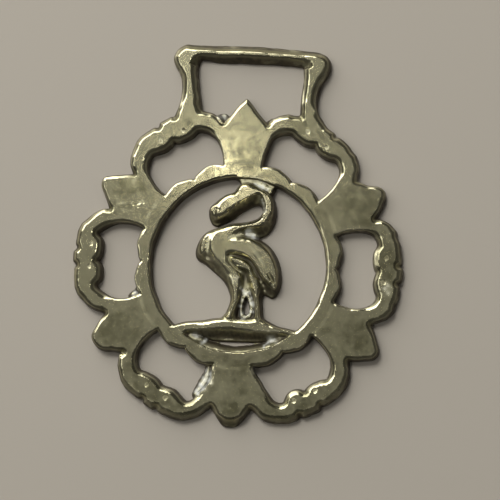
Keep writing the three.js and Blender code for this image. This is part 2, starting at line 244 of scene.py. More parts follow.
# the spurs between the lobes, each from notch to notch, anticlockwise
SPURS = {
    0: [(32.1, 12.3), (33.5, 15.3), (34.2, 17.7), (33.7, 19.3), (32.5, 20.0), (30.3, 20.3), (27.3, 21.2)],
    60: [(5.5, 34.1), (2.8, 37.0), (0.7, 39.7), (0.1, 40.3), (-0.6, 39.8), (-2.7, 37.3), (-5.1, 34.1)],
    120: [(-26.5, 21.0), (-29.3, 20.7), (-32.0, 20.5), (-33.5, 20.0), (-34.1, 18.3), (-33.3, 16.0), (-31.7, 12.3)],
    180: [(-31.5, -12.9), (-33.1, -15.7), (-34.1, -18.7), (-33.0, -20.7), (-31.3, -21.7), (-28.7, -21.7), (-26.5, -22.0)],
    240: [(-4.75, -34.0), (-3.75, -35.5), (-2.75, -36.8), (-1.85, -37.8), (-0.9, -38.3), (0.9, -38.3), (1.85, -37.8),
          (2.75, -36.8), (3.75, -35.5), (4.75, -34.0)],
    300: [(27.3, -21.5), (31.0, -21.2), (33.3, -20.7), (34.2, -19.3), (33.8, -17.3), (33.0, -15.0), (32.1, -12.8)],
}


def polar(deg, r):
    a = math.radians(deg)
    return (r * math.cos(a), r * math.sin(a))


def lobe_outer(l, f):
    r = np.interp(abs(f), [0, 10, 12.5, 14.5, 17.5, 19.5, 21.86], [l["out"], l["out"] - 0.05, l["out"] - 0.45, 38.4, 37.3, 36.0, 34.0])
    for k in l["nick"]:
        r -= 0.45 * math.exp(-((f - k) / 0.8) ** 2)
    n0, n1 = l["nick"]
    if n0 + 1.0 < f < n1 - 1.0:
        r += 0.25
    return r


rim_outer = []
for l in LOBES:
    rim_outer += [polar(l["deg"] + f, lobe_outer(l, f)) for f in np.arange(-20.2, 20.21, 0.4)]
    rim_outer += [tuple(p) for p in curve(SPURS[l["deg"]], step=0.4)]
d_disc = outline(rim_outer)

windows = []
for l in LOBES:
    def at(points, step=0.3, l=l):
        return [tuple(p) for p in curve([polar(l["deg"] + f, r) for f, r in points], step=step)]
    f = np.linspace(0, 9.5, 14)
    left = [(-a, 23.3 + (24.95 - 23.3) * (a / 9.5) ** 0.62) for a in f]
    right = [(a, r) for a, r in zip(f, [q[1] for q in left])]
    g = np.linspace(9.5, 18.7, 12)[1:]
    left += [(-a, 24.95 - 0.55 * ((a - 9.5) / 9.5) ** 2) for a in g]
    right += [(a, 24.95 - 0.55 * ((a - 9.5) / 9.5) ** 2) for a in g]
    line = [polar(l["deg"] + a, r) for a, r in left[::-1]] + [polar(l["deg"] + a, r) for a, r in right[1:]]
    c0, c1 = l["corner"]
    (b0f, b0), (b1f, b1) = l["bump"]
    cf, cr = l["cusp"]
    high_side = [(18.9, 24.6), (19.3, 26.5), (18.6, 29.0), (17.0, 31.4), (14.0, 33.3), (10.5, c1), (8.2, b1 + 0.45), (b1f, b1), (cf + 1.3, b1 + 0.35), (cf + 0.1, cr)]
    low_side = [(cf - 0.1, cr), (cf - 1.3, b0 + 0.35), (b0f, b0), (-8.2, b0 + 0.45), (-10.5, c0), (-14.0, 33.3), (-17.0, 31.4), (-18.6, 29.0), (-19.3, 26.5), (-18.9, 24.6)]
    if l["deg"] == 60:
        high_side = [(18.9, 24.6), (19.2, 26.5), (18.6, 29.0), (17.6, 31.9), (14.0, 33.4)] + high_side[5:]
    if l["deg"] == 240:
        high_side = [(19.4, 25.2), (20.2, 26.6), (19.9, 28.5), (18.4, 30.6), (15.5, 32.8), (12.2, 34.6)] + high_side[6:]
    if l["deg"] == 300:
        low_side = [(cf - 0.1, cr), (-0.9, 33.2), (-2.6, 32.7), (-4.4, 32.65), (-6.2, 33.0), (-7.6, 33.7), (-9.0, 34.5), (-10.6, 34.4), (-12.6, 33.5), (-14.9, 30.7), (-16.9, 27.8), (-18.3, 26.0), (-18.9, 24.6)]
    line += at(high_side) + at(low_side)
    windows.append(line)

# strap loop: outer outline, then the slot
bar_top = lambda x: 53.1 - 0.03 * (x - 1) + 0.25 * math.cos((x - 1) / 6)
loop_outer = curve([(-19.5, 31.0), (-18.3, 32.6), (-17.6, 34.6), (-17.0, 36.3), (-16.2, 38.2), (-15.9, 40.5), (-15.8, 43.0), (-16.2, 45.0), (-17.0, 47.0), (-17.8, 48.5),
                    (-18.3, 50.0), (-18.0, 51.3), (-17.0, 52.7), (-15.6, 53.4), (-13.5, bar_top(-13.5)), (-8, bar_top(-8)), (-2, bar_top(-2)), (4, bar_top(4)), (10, bar_top(10)),
                    (14.5, bar_top(14.5)), (16.6, 52.4), (17.9, 51.9), (18.9, 51.2), (19.6, 50.2), (19.7, 48.8), (19.0, 47.0), (17.9, 45.0), (17.2, 43.0), (16.8, 41.0), (16.9, 39.0),
                    (17.5, 37.0), (18.5, 35.5), (19.3, 34.2), (19.6, 31.0)], step=0.4)
slot_top = lambda x: 49.6 - 0.03 * (x - 0.5)
slot = np.vstack([curve([(-10.9, 33.0), (-10.9, 37.0), (-11.3, 39.0), (-11.9, 42.0), (-12.3, 45.0), (-12.5, 47.5), (-12.2, 49.2)], step=0.4),
                  curve([(-11.7, slot_top(-11.7) + 0.1), (-6, slot_top(-6) - 0.15), (0, slot_top(0)), (6, slot_top(6)), (12.9, slot_top(12.9) + 0.05)], step=0.4),
                  curve([(13.6, 48.7), (13.65, 46.0), (13.3, 42.0), (13.2, 39.0), (13.2, 36.7), (13.2, 33.0)], step=0.4)])
d_loop = outline(loop_outer)
d_slot = outline(slot)

d_windows = np.full((NY, NX), 3.2)
for w in windows:
    d_windows = np.minimum(d_windows, outline(w))

# slow wander of every edge, as a hand-filed sand casting has
wander = 0.05 * noise(4.5, 11) + 0.012 * noise(2.0, 12)
d_loopbar = np.maximum(d_loop, -d_slot)
d_rim = smin(d_disc, d_loopbar, 0.7)
d_rim = smax(d_rim, -d_windows, 0.25)
d_rim = np.maximum(d_rim, RING_IN - RR)
d_rim = np.clip(d_rim, -3.2, 3.2) + wander

# ---------------------------------------------------------------- top of the rim

near_lobe = np.zeros((NY, NX))
for l in LOBES:
    f = (AA - l["deg"] + 180) % 360 - 180
    near_lobe = np.maximum(near_lobe, 1 - smooth(14.0, 21.5, np.abs(f)))
lobe_w = near_lobe * smooth(30.5, 33.5, RR) * (1 - smooth(40.0, 42.0, RR))
spur_w = (1 - near_lobe) * smooth(31.0, 34.0, RR)
loop_w = smooth(37.0, 40.0, GY) * smooth(0.0, 1.0, -d_loop + 0.6)
loop_w = np.clip(loop_w * smooth(-10.0, -12.0, GX) + loop_w * smooth(12.5, 14.0, GX) + loop_w * smooth(45.0, 48.0, GY), 0, 1)
ring_w = 1 - smooth(24.0, 25.5, RR)
web_w = np.clip(1 - lobe_w - loop_w - ring_w, 0, 1)

under = 1 - smooth(-36.0, -28.0, GY + 0.10 * np.abs(GX))              # the foot of the casting has a wide bevel
outer = smooth(-3.4, -2.0, d_disc + 0 * GX)                         # 1 along the outer edge
round_w = 1.10 + 0.55 * lobe_w + 0.85 * loop_w + 0.35 * spur_w + 0.75 * under * outer     # how far in the rounded edge reaches
round_h = 1.10 + 0.85 * lobe_w + 1.15 * loop_w + 0.55 * spur_w + 0.75 * under * outer     # and how far down

top = THICK + 0.10 * noise(18, 21) + 0.075 * noise(7, 22) + 0.018 * noise(3.2, 25) + 0.010 * noise(2.6, 23) + 0.0025 * noise(1.1, 24)
top -= 0.18 * web_w * smooth(0.6, 3.1, -d_rim)                     # the webs are a little hollow
top -= 0.26 * ring_w * ((RR - 22.8) / 1.8) ** 2
top += 0.12 * loop_w
near_edge = 1 - np.clip(-d_rim / 2.9, 0, 1)
top -= (0.58 * lobe_w + 0.48 * loop_w + 0.24 * spur_w) * near_edge ** 2
bar = smooth(48.0, 48.6, GY) * smooth(-14.5, -13.0, GX) * smooth(16.0, 14.5, GX)
top -= 0.75 * bar * smooth(51.4, 48.8, GY) ** 1.3
top -= 0.24 * np.maximum(GY - 50.7, 0) * smooth(-19.5, -16.5, GX) * smooth(19.0, 16.0, GX)
# the bottom spur and the notch roots are low
top -= 1.3 * smooth(35.6, 38.2, RR) * (1 - smooth(9.0, 11.0, np.abs(AA - 270)))
for x, y, r, deep in ((-5.3, 34.7, 1.1, 0.5), (5.3, 34.2, 1.1, 0.5), (27.5, 21.4, 1.2, 0.7), (32.4, 12.2, 1.1, 0.7), (-26.3, 21.3, 1.3, 0.7), (-31.6, 12.2, 1.2, 0.7),
                      (-31.6, -12.6, 1.3, 0.9), (-26.3, -22.3, 1.2, 0.8), (27.4, -21.8, 1.1, 0.8), (32.4, -12.6, 1.2, 0.9), (-4.8, -34.6, 1.3, 0.9), (4.9, -34.6, 1.3, 0.9)):
    top -= 0.6 * deep * np.exp(-((GX - x) ** 2 + (GY - y) ** 2) / (r * r))
# two punched dimples on each lobe
DIMPLES = ((0, ((-4.5, 35.0), (4.8, 35.2))), (60, ((-4.5, 35.1), (5.0, 36.0))), (120, ((-5.0, 35.2), (4.5, 35.5))),
           (180, ((-6.0, 35.7), (3.0, 35.7))), (240, ((-4.5, 35.7), (4.4, 35.9))), (300, ((-4.7, 35.0), (4.4, 35.1))))
for deg, pair in DIMPLES:
    for f, r in pair:
        x, y = polar(deg + f, r)
        g = np.hypot(GX - x, GY - y)
        top -= 0.36 * np.exp(-(g / 0.58) ** 2)
        top += 0.11 * np.exp(-((GX - x) ** 2 + (GY - y + 0.85) ** 2) / 0.25)
# a groove follows the foot of each nick
for l in LOBES:
    for k in l["nick"]:
        x, y = polar(l["deg"] + k, l["out"] - 0.6)
        g = np.hypot(GX - x, GY - y)
        top -= 0.22 * np.exp(-(g / 0.8) ** 2)
# the top web is rubbed and scored
for a, b in (((2.0, 31.0), (9.0, 34.0)), ((3.0, 31.2), (8.0, 33.0)), ((-2.5, 33.5), (1.0, 35.0)), ((-29.0, 16.0), (-26.0, 13.5))):
    top -= 0.035 * np.exp(-(near([a, b]) / 0.16) ** 2)
# rough patch on the upper left web
rough = np.exp(-((GX + 25.0) ** 2 / 16 + (GY - 13.6) ** 2 / 4.5)) + 0.6 * np.exp(-((GX + 30.0) ** 2 + (GY - 12.0) ** 2) / 2.0)
top += rough * (0.10 * noise(1.5, 31) + 0.045 * noise(0.8, 32))
top -= 0.26 * np.exp(-((GX + 26.5) ** 2 / 5 + (GY - 18.8) ** 2 / 4))
top -= 0.17 * (GY - 12.8) * np.exp(-((GX + 24.3) ** 2 / 24 + (GY - 12.8) ** 2 / 8))
top -= 0.26 * np.exp(-((GX + 15.8) ** 2 / 7 + (GY - 32.0) ** 2 / 4))
c_rim = np.where(d_rim < 0, top, top - 2.5 * d_rim)

# ---------------------------------------------------------------- mound under the bird

upper = [(-16.8, -15.2), (-14.5, -14.9), (-12.2, -14.2), (-10, -13.9), (-8, -13.7), (-5.5, -13.15), (-3.5, -12.9), (-1.7, -12.8), (0.5, -13.0), (3.5, -12.9), (6.2, -12.6),
         (8, -13.4), (10, -14.3), (12.5, -14.8), (15.5, -15.4), (17.5, -15.6)]
lower = [(18.5, -19.0), (11.5, -18.2), (9.0, -17.9), (6.0, -18.0), (2.0, -18.15), (-2.0, -18.2), (-5.0, -18.1), (-7.0, -17.7), (-9.5, -17.7), (-12.0, -19.0), (-17.0, -19.0)]
d_mound = np.maximum(outline(np.vstack([curve(upper), curve(lower)])), RR - 22.6)
mound_lines = [
    [(x, y, 2.5) for x, y in upper],
    [(-16.5, -15.7, 3.1), (-14.5, -15.1, 3.1), (-12, -14.5, 3.05), (-10, -14.2, 3.0), (-8, -14.0, 3.0), (-6, -13.6, 2.95), (-4, -13.3, 3.0), (-2, -13.3, 3.1), (1, -13.75, 3.25), (4, -13.7, 3.25), (6, -13.5, 3.2),
     (8, -14.1, 3.25), (10, -14.7, 3.35), (12, -15.0, 3.45), (14, -15.5, 3.3), (16.5, -16.0, 3.2)],
    [(-13.5, -16.3, 3.2), (-11, -15.9, 3.45), (-9, -15.65, 3.6), (-6, -15.3, 3.6), (-3, -14.95, 3.5), (0, -14.85, 3.4), (3, -15.0, 3.35), (6, -15.5, 3.35), (9, -15.7, 3.3), (11.5, -15.6, 3.2), (13.5, -16.1, 3.0)],
    [(-11.0, -17.0, 2.2), (-9, -16.7, 2.3), (-6, -16.4, 2.4), (-3, -16.0, 2.5), (0, -15.9, 2.5), (3, -16.1, 2.5), (6, -16.5, 2.4), (9, -16.7, 2.2), (11.5, -16.7, 2.0)],
    [(-10.0, -17.8, 1.3), (-6, -17.4, 1.3), (-2, -17.2, 1.3), (2, -17.2, 1.3), (6, -17.4, 1.3), (10.0, -17.8, 1.2)],
    [(x, y - 0.2, 0.7) for x, y in lower if abs(x) < 12],
]
c_mound = relief((-19.0, -20.0, 19.5, -11.0), mound_lines, step=0.8, soft=0.2) + 0.05 * noise(3.0, 41) + 0.012 * noise(1.2, 42)
c_mound = np.where(d_mound < 0, c_mound, c_mound - 2.5 * d_mound)

# ledges in the lens-shaped gap, and the flash that the casting kept
fills = []


def add(s, c):
    fills.append((s, c))


arc = [polar(a, 21.4) + (w, h) for a, w, h in ((232, 1.0, 2.6), (240, 1.7, 2.8), (250, 2.0, 2.9), (262, 2.05, 2.9), (272, 2.05, 2.9), (284, 2.0, 2.9), (294, 1.9, 2.9), (302, 1.6, 2.8), (308, 1.0, 2.6))]
add(*sweep(arc, 2.1))
add(*dome(-9.6, -17.7, 2.9, 1.5, -28, 2.3, 1.0))
add(*dome(10.4, -17.6, 2.9, 1.5, 28, 2.2, 1.0))
add(*dome(-7.2, -18.6, 1.0, 0.8, -20, 1.7, 0.8))
add(*dome(8.6, -18.7, 1.1, 0.8, 25, 1.6, 0.8))
# sloping flash in the lower left window, and small ones elsewhere
add(*sweep([(-5.6, -24.9, 0.8, 2.6), (-5.9, -26.6, 1.2, 2.7), (-6.7, -28.6, 1.45, 2.7), (-7.9, -30.4, 1.1, 2.5), (-8.6, -31.2, 0.8, 2.3)], 1.7))
add(*dome(-24.6, -7.9, 1.3, 0.8, 20, 2.0, 0.7))
add(*dome(-23.9, -6.9, 0.55, 0.5, 0, 2.3, 0.6))
add(*dome(-5.6, 35.2, 1.5, 1.5, 0, 0.9, 0.15))
add(*dome(6.2, 34.9, 1.0, 0.8, 30, 1.3, 0.6))

# ---------------------------------------------------------------- bird

# outline of the whole bird with the height of its edge, from the bill's tip clockwise
bird_edge = [
    (-7.5, 13.4, 2.4), (-6.9, 14.1, 2.5), (-5.9, 15.0, 2.6), (-4.8, 16.0, 2.8), (-3.6, 16.8, 2.9), (-2.4, 17.2, 2.9), (-1.7, 17.5, 2.9), (-1.3, 18.2, 2.9), (-0.7, 19.1, 2.9),
    (0.3, 19.6, 2.9), (1.4, 19.7, 2.9), (2.6, 19.5, 2.8), (3.8, 19.2, 2.6), (5.2, 18.6, 2.4), (6.6, 17.6, 2.2), (7.5, 16.4, 2.4), (8.0, 15.0, 2.3), (8.25, 13.4, 2.1), (8.2, 11.8, 1.8),
    (7.9, 10.2, 1.5), (7.2, 8.8, 1.2), (6.2, 7.6, 1.0), (5.0, 7.05, 1.0), (4.1, 6.75, 1.3), (4.5, 6.3, 1.6), (5.4, 5.9, 1.8), (6.6, 5.1, 1.9), (7.7, 4.0, 1.9), (8.7, 2.6, 1.8),
    (9.5, 1.0, 1.7), (10.0, -0.8, 1.6), (10.25, -2.6, 1.5), (10.2, -4.2, 1.3), (9.8, -5.8, 1.1), (9.2, -6.9, 1.0), (8.3, -7.4, 0.9), (7.4, -6.95, 0.9), (6.4, -6.75, 1.0),
    (5.85, -7.2, 1.6), (5.8, -8.2, 2.0), (6.0, -10.0, 2.1), (6.2, -11.8, 2.2), (6.6, -12.8, 2.3), (7.2, -14.2, 2.4), (-3.8, -14.2, 2.4), (-3.2, -12.7, 2.3), (-2.3, -11.4, 2.1),
    (-1.75, -10.0, 2.1), (-1.45, -8.8, 2.1), (-1.4, -7.8, 1.9), (-1.6, -6.9, 1.7), (-2.1, -5.6, 1.5), (-2.8, -4.4, 1.3), (-3.8, -3.2, 1.2), (-5.2, -2.1, 1.1), (-6.8, -0.8, 1.0),
    (-8.2, 0.3, 1.0), (-9.5, 0.9, 1.1), (-10.1, 1.6, 1.3), (-10.35, 2.8, 1.7), (-10.1, 4.2, 2.0), (-9.4, 5.8, 2.2), (-8.4, 7.1, 2.3), (-7.3, 7.9, 2.3), (-6.2, 8.4, 2.4), (-4.7, 8.9, 2.4),
    (-3.5, 9.35, 2.5), (-2.4, 9.75, 2.5), (-1.0, 10.0, 2.5), (0.5, 10.15, 2.5), (2.0, 10.4, 2.5), (3.2, 10.8, 2.5), (4.3, 11.4, 2.6), (5.0, 12.2, 2.6), (5.3, 13.2, 2.6), (5.15, 14.1, 2.6),
    (4.5, 14.8, 2.0), (3.6, 14.75, 1.3), (2.4, 14.35, 1.1), (1.2, 13.6, 1.0), (-0.4, 12.6, 1.0), (-1.6, 11.55, 1.0), (-3.1, 10.55, 0.9), (-4.4, 9.95, 0.9), (-5.8, 9.45, 0.9),
    (-6.7, 9.8, 1.0), (-7.3, 10.8, 1.3), (-7.6, 12.0, 1.9)]
d_bird = outline(curve(bird_edge, closed=True))
bird_lines = [
    list(bird_edge) + [bird_edge[0]],
    # bill: beaded ridge, bright upper side, dark lower side
    [(4.0, 17.15, 3.5), (3.3, 17.0, 3.8), (2.3, 16.5, 4.0), (1.2, 15.95, 4.1), (0.1, 15.35, 4.1), (-1.2, 14.45, 4.05), (-3.0, 13.2, 3.95), (-4.2, 12.5, 3.8), (-5.3, 12.1, 3.6)],
    [(0.2, 16.9, 4.35), (-0.8, 16.5, 4.2), (-2.0, 15.9, 4.2), (-3.4, 14.9, 4.1), (-4.6, 13.9, 3.95), (-5.4, 13.1, 3.75)],
    [(-2.6, 16.7, 3.55), (-4.0, 15.9, 3.5), (-5.1, 15.0, 3.35), (-6.2, 14.0, 3.1), (-6.7, 13.5, 3.1)],
    [(3.6, 16.1, 2.6), (2.2, 15.3, 2.75), (0.8, 14.5, 2.8), (-0.7, 13.5, 2.8), (-2.2, 12.4, 2.8), (-3.5, 11.5, 2.7), (-4.7, 10.9, 2.5), (-5.8, 10.6, 2.3)],
    # the bill's tip: two small lips with a nick between
    [(-7.05, 13.0, 3.25), (-7.0, 12.3, 3.15)], [(-6.35, 13.2, 2.95), (-6.3, 12.5, 2.8), (-6.4, 11.9, 2.75)], [(-5.65, 12.2, 3.45), (-5.8, 11.4, 3.0)],
    # head
    [(-0.6, 17.9, 4.05), (0.0, 18.8, 4.0), (1.0, 19.1, 3.95), (2.2, 18.95, 3.9)], [(0.4, 18.0, 4.4), (1.2, 18.1, 4.45), (2.2, 17.9, 4.35)], [(1.2, 17.0, 4.3), (2.6, 17.3, 4.15)],
    # neck: crest, inner rim, outer side
    [(3.4, 18.2, 4.0), (5.0, 17.4, 3.9), (6.3, 16.6, 3.95), (7.05, 15.4, 4.0), (7.2, 14.1, 4.0), (6.95, 12.8, 4.0), (6.2, 11.5, 3.95), (5.3, 10.5, 3.9), (4.2, 9.8, 3.85), (2.6, 9.5, 3.85),
     (1.0, 9.25, 3.85), (-0.4, 8.7, 3.85), (-1.8, 8.0, 3.95), (-3.0, 7.2, 4.05), (-3.5, 6.3, 4.1)],
    [(4.6, 16.7, 3.2), (5.3, 16.0, 3.55), (5.75, 14.8, 3.6), (5.85, 13.6, 3.6), (5.65, 12.6, 3.6), (4.9, 11.9, 3.6), (3.9, 11.2, 3.5), (2.2, 10.6, 3.35), (0.4, 10.3, 3.1), (-1.4, 10.1, 3.1)],
    [(6.7, 16.9, 3.65), (7.5, 15.8, 3.6), (7.85, 14.3, 3.45), (7.8, 13.0, 3.35), (7.25, 11.5, 3.3), (6.55, 10.2, 3.15), (5.6, 9.3, 2.95), (4.4, 8.8, 2.8), (3.0, 8.7, 2.8), (1.4, 8.4, 2.9), (0.2, 8.0, 3.1)],
    [(-1.2, 9.3, 3.5), (-3.0, 8.8, 3.35), (-4.6, 8.2, 3.3), (-6.0, 7.6, 3.25)],
    # low fill in the crook of the neck
    [(-2.6, 6.2, 3.75), (-1.4, 6.6, 3.5), (-0.4, 6.9, 3.2), (0.6, 7.1, 2.8), (1.6, 7.2, 2.2), (2.6, 7.4, 2.0), (3.6, 7.2, 1.8)],
    # breast knob, the fold beside it, and the flank
    [(-8.2, 6.3, 3.3), (-8.45, 5.0, 3.7), (-8.6, 4.0, 3.6), (-8.7, 3.0, 3.65), (-9.0, 2.2, 3.1)],
    [(-6.9, 7.4, 3.0), (-7.5, 6.2, 3.15), (-7.6, 5.0, 3.25), (-7.5, 3.8, 3.2), (-7.3, 2.4, 2.8), (-7.0, 1.5, 2.2)],
    [(-5.0, 7.2, 3.75), (-5.8, 6.2, 3.9), (-6.25, 5.0, 4.0), (-6.2, 3.8, 4.0), (-5.8, 2.6, 3.95), (-5.1, 1.6, 3.95), (-4.2, 0.9, 3.9), (-3.1, 0.1, 3.75), (-2.2, -0.4, 3.45), (-1.1, -1.0, 3.4)],
    [(-8.3, 1.3, 2.1), (-6.5, 0.4, 2.4), (-5.1, -0.6, 2.4), (-3.9, -1.4, 2.4), (-3.0, -2.4, 2.35), (-2.3, -3.6, 2.3), (-1.8, -5.0, 2.3)],
    [(-4.6, 5.6, 4.0), (-4.9, 4.4, 4.05), (-4.6, 3.0, 4.05), (-3.6, 1.8, 3.95)], [(-3.3, 4.9, 4.15), (-3.1, 3.5, 4.1)],
    # wing: first row of feathers, valley, second row, outer edge
    [(-1.4, 5.6, 4.1), (0.2, 5.5, 4.15), (1.3, 5.0, 4.15)],
    [(-2.2, 4.6, 4.25), (-0.6, 4.4, 4.42), (0.7, 4.1, 4.48), (1.8, 3.4, 4.45), (2.9, 2.5, 4.42), (4.0, 1.7, 4.4), (5.2, 0.2, 4.3), (6.2, -1.6, 4.2), (7.1, -3.2, 4.05), (7.9, -4.1, 3.8)],
    [(-1.8, 3.4, 4.2), (-0.2, 3.0, 4.2), (1.3, 2.6, 4.15), (2.8, 1.6, 4.1), (4.0, 0.3, 4.05), (5.0, -1.2, 3.95), (5.9, -2.6, 3.8), (6.6, -3.5, 3.65)],
    [(-2.4, 2.2, 3.3), (-1.0, 2.15, 3.1), (0.6, 2.0, 3.0), (2.2, 1.5, 2.9), (3.3, 0.7, 2.8), (4.2, -0.6, 2.7), (5.2, -2.3, 2.5), (5.8, -3.3, 2.2)],
    [(1.2, 5.7, 3.9), (2.6, 4.7, 3.95), (3.5, 3.7, 4.0), (4.4, 2.5, 4.02), (5.4, 1.2, 4.05), (6.5, -0.3, 4.0), (7.5, -1.9, 3.75), (8.2, -3.1, 3.5), (8.7, -4.0, 3.35)],
    [(2.7, 5.5, 4.05), (4.0, 4.7, 4.2), (5.2, 3.6, 4.28), (6.45, 2.25, 4.3), (7.6, 0.6, 4.25), (8.5, -1.1, 4.15), (9.05, -2.6, 4.0), (9.35, -3.5, 3.8), (9.4, -4.7, 3.4), (9.1, -5.6, 2.9)],
    [(1.4, 6.4, 3.3), (3.2, 6.1, 3.15), (4.9, 5.4, 3.3), (6.5, 4.3, 3.45), (7.8, 2.8, 3.6), (8.8, 1.15, 3.6), (9.45, -0.6, 3.5), (9.75, -2.4, 3.3), (9.85, -4.2, 2.6)],
    [(6.3, -4.2, 2.1), (7.4, -5.0, 2.3), (8.5, -5.9, 2.0)], [(6.4, -5.6, 1.4), (7.6, -6.3, 1.4)],
    # short feathers under the wing, and the fold beside the flank
    [(-1.6, 1.5, 3.65), (-0.2, 1.1, 3.75), (1.2, 0.7, 3.75), (2.4, 0.2, 3.65), (3.1, -0.6, 3.5)], [(0.4, -0.4, 3.6), (1.4, -0.8, 3.6), (2.4, -1.0, 3.5), (3.05, -1.25, 3.5)],
    [(-2.35, 1.9, 3.3), (-2.0, 0.8, 3.15), (-1.3, -0.2, 3.0), (-0.4, -0.9, 2.9)], [(0.1, -1.3, 2.9), (1.2, -1.7, 2.5), (2.2, -1.9, 2.3)],
    # thighs and legs
    [(-0.5, -1.5, 3.35), (0.15, -2.2, 3.35), (0.75, -3.0, 3.3)], [(-1.1, -2.5, 3.25), (-0.8, -3.9, 3.3), (-0.5, -5.2, 3.3), (-0.2, -6.6, 3.35), (0.15, -7.8, 3.4), (0.1, -8.9, 3.4), (-0.4, -10.1, 3.3),
     (-0.9, -11.3, 3.4), (-1.5, -12.6, 3.5)],
    [(1.15, -3.6, 2.5), (1.1, -4.6, 2.5), (1.15, -6.0, 2.4), (1.1, -7.4, 2.3), (0.95, -8.6, 2.1), (0.5, -10.0, 1.9), (0.2, -11.4, 1.8), (0.1, -12.6, 2.0)],
    [(1.8, -2.5, 1.8), (2.2, -3.6, 1.7), (1.9, -4.6, 1.8)],
    [(3.1, -2.0, 3.2), (3.7, -3.6, 3.3), (4.3, -5.2, 3.3), (4.7, -6.9, 3.3), (4.95, -8.6, 3.3), (5.15, -10.2, 3.3), (5.4, -11.8, 3.4), (5.9, -13.0, 3.5)],
    [(2.7, -3.4, 2.4), (3.0, -4.8, 2.3), (3.6, -6.4, 2.2), (4.0, -7.8, 2.2), (4.25, -9.4, 2.2), (4.45, -11.0, 2.2), (4.5, -12.2, 2.3)],
    [(5.0, -3.2, 2.9), (5.3, -5.0, 2.8), (5.6, -6.6, 2.6)],
]
c_bird = relief((-12.0, -15.5, 12.0, 21.0), bird_lines)

# the thin web between the legs with its keyhole, whose lip stands up
keyhole = outline(curve([(2.35, -7.6), (3.0, -8.7), (3.3, -10.1), (3.15, -11.4), (2.5, -11.95), (1.75, -11.5), (1.5, -10.3), (1.7, -8.9)], closed=True, step=0.3))
between = outline(curve([(1.2, -5.6), (2.8, -5.3), (3.6, -6.8), (4.1, -8.6), (4.45, -10.8), (4.5, -12.3), (3.4, -13.0), (1.5, -13.0), (0.3, -12.6), (0.3, -11.0), (0.9, -9.2), (1.15, -7.4)], closed=True))
c_web = 1.75 - 0.9 * smooth(1.3, 0.6, GX) + 0.035 * noise(1.4, 51) + 0.45 * np.exp(-((keyhole - 0.35) / 0.55) ** 4) + 0.5 * np.exp(-((GX - 2.3) ** 2 + (GY + 6.3) ** 2) / 0.9)
c_bird = np.where(between < 0.9, c_bird + (c_web - c_bird) * smooth(0.12, -0.25, between), c_bird)
d_bird = np.maximum(d_bird, -keyhole)

# fine cut lines: wing edge, parting of the feather tips, folds, mouth
for pts, wide, deep in (
    ([(-2.4, 2.2), (-0.1, 2.1), (1.9, 1.6), (3.3, 0.7), (4.4, -1.0), (5.6, -3.0)], 0.22, 0.30),
    ([(-2.3, 2.2), (-1.9, 0.7), (-1.0, -0.5), (0.4, -1.5)], 0.22, 0.25),
    ([(7.5, -2.0), (8.4, -3.6), (9.0, -5.0)], 0.25, 0.22),
    ([(0.0, 0.0), (1.4, -0.25), (2.7, -0.6)], 0.20, 0.12),
    ([(-6.1, 13.3), (-5.2, 13.0), (-4.6, 12.9)], 0.16, 0.16),
):
    c_bird = c_bird - deep * np.exp(-(near(curve(pts), reach=1.5) / wide) ** 2)
# a row of small beads along the bill's ridge
for x, y in ((3.3, 17.1), (2.65, 16.75), (1.98, 16.4), (1.3, 16.05), (0.62, 15.7), (-0.06, 15.3), (-1.15, 14.5), (-3.0, 13.25)):
    c_bird += 0.34 * np.exp(-((GX - x) ** 2 + (GY - y) ** 2) / 0.13)
c_bird = c_bird + 0.025 * noise(2.2, 61) + 0.006 * noise(1.0, 62)
c_bird = np.where(d_bird < 0, c_bird, np.minimum(c_bird, 4.6) - 2.5 * d_bird)
d_bird = d_bird + 0.4 * wander

# joins to the ring
add(*dome(4.8, 19.4, 2.7, 1.0, -26, 2.75, 0.5))
head_join = outline(curve([(-2.6, 21.6), (-1.5, 20.95), (-0.75, 20.4), (-0.4, 19.9), (-0.3, 19.3), (0.4, 18.9), (2.0, 19.0), (4.0, 18.6), (6.0, 17.6), (7.2, 17.6), (7.4, 18.3),
                          (7.8, 19.0), (8.8, 19.8), (6.0, 21.6), (2.0, 22.2)], closed=True))
add(head_join, 2.35 - 2.5 * np.maximum(head_join, 0))
add(*dome(2.8, 7.3, 1.4, 0.9, -5, 1.9, 0.4))

# ---------------------------------------------------------------- one casting

d_fill = np.full((NY, NX), 3.0)
c_fill = np.full((NY, NX), -9.0)
for s, c in fills:
    d_fill = smin(d_fill, s, 0.3)
    c_fill = smax(c_fill, c, 0.2)
flash_w = np.exp(-((GX + 7.0) ** 2 + (GY + 28.5) ** 2) / 14)
c_fill = c_fill + (0.03 + 0.05 * flash_w) * noise(1.4, 71) + (0.010 + 0.012 * flash_w) * noise(0.7, 72)
d_fill = d_fill + 0.05 * noise(1.3, 73)

dist = smin(smin(smin(d_rim, d_bird, 0.35), d_mound, 0.35), d_fill, 0.3)
dist = np.maximum(dist, np.where(RR < RING_IN, -keyhole, -9.0))
height = smax(smax(smax(c_rim, c_bird, 0.25), c_mound, 0.25), c_fill, 0.2)
height = np.maximum(height, 0.5)
in_ring = smooth(0.25, -0.25, d_rim)           # 1 on the rim, 0 on what stands inside the ring
soft_w = round_w * in_ring + 0.55 * (1 - in_ring)
soft_h = round_h * in_ring + 0.60 * (1 - in_ring)
soft_w, soft_h = blur(soft_w, 0.4), blur(soft_h, 0.4)
dist = blur(dist, 0.13)

# hollows and rubbed crests, for the dirt and painted shade in the hollows and the polish on the crests
filled = np.where(dist < 0.3, height, 1.2)
hollow = blur(filled, 0.55) - filled
proud = filled - blur(filled, 0.9)



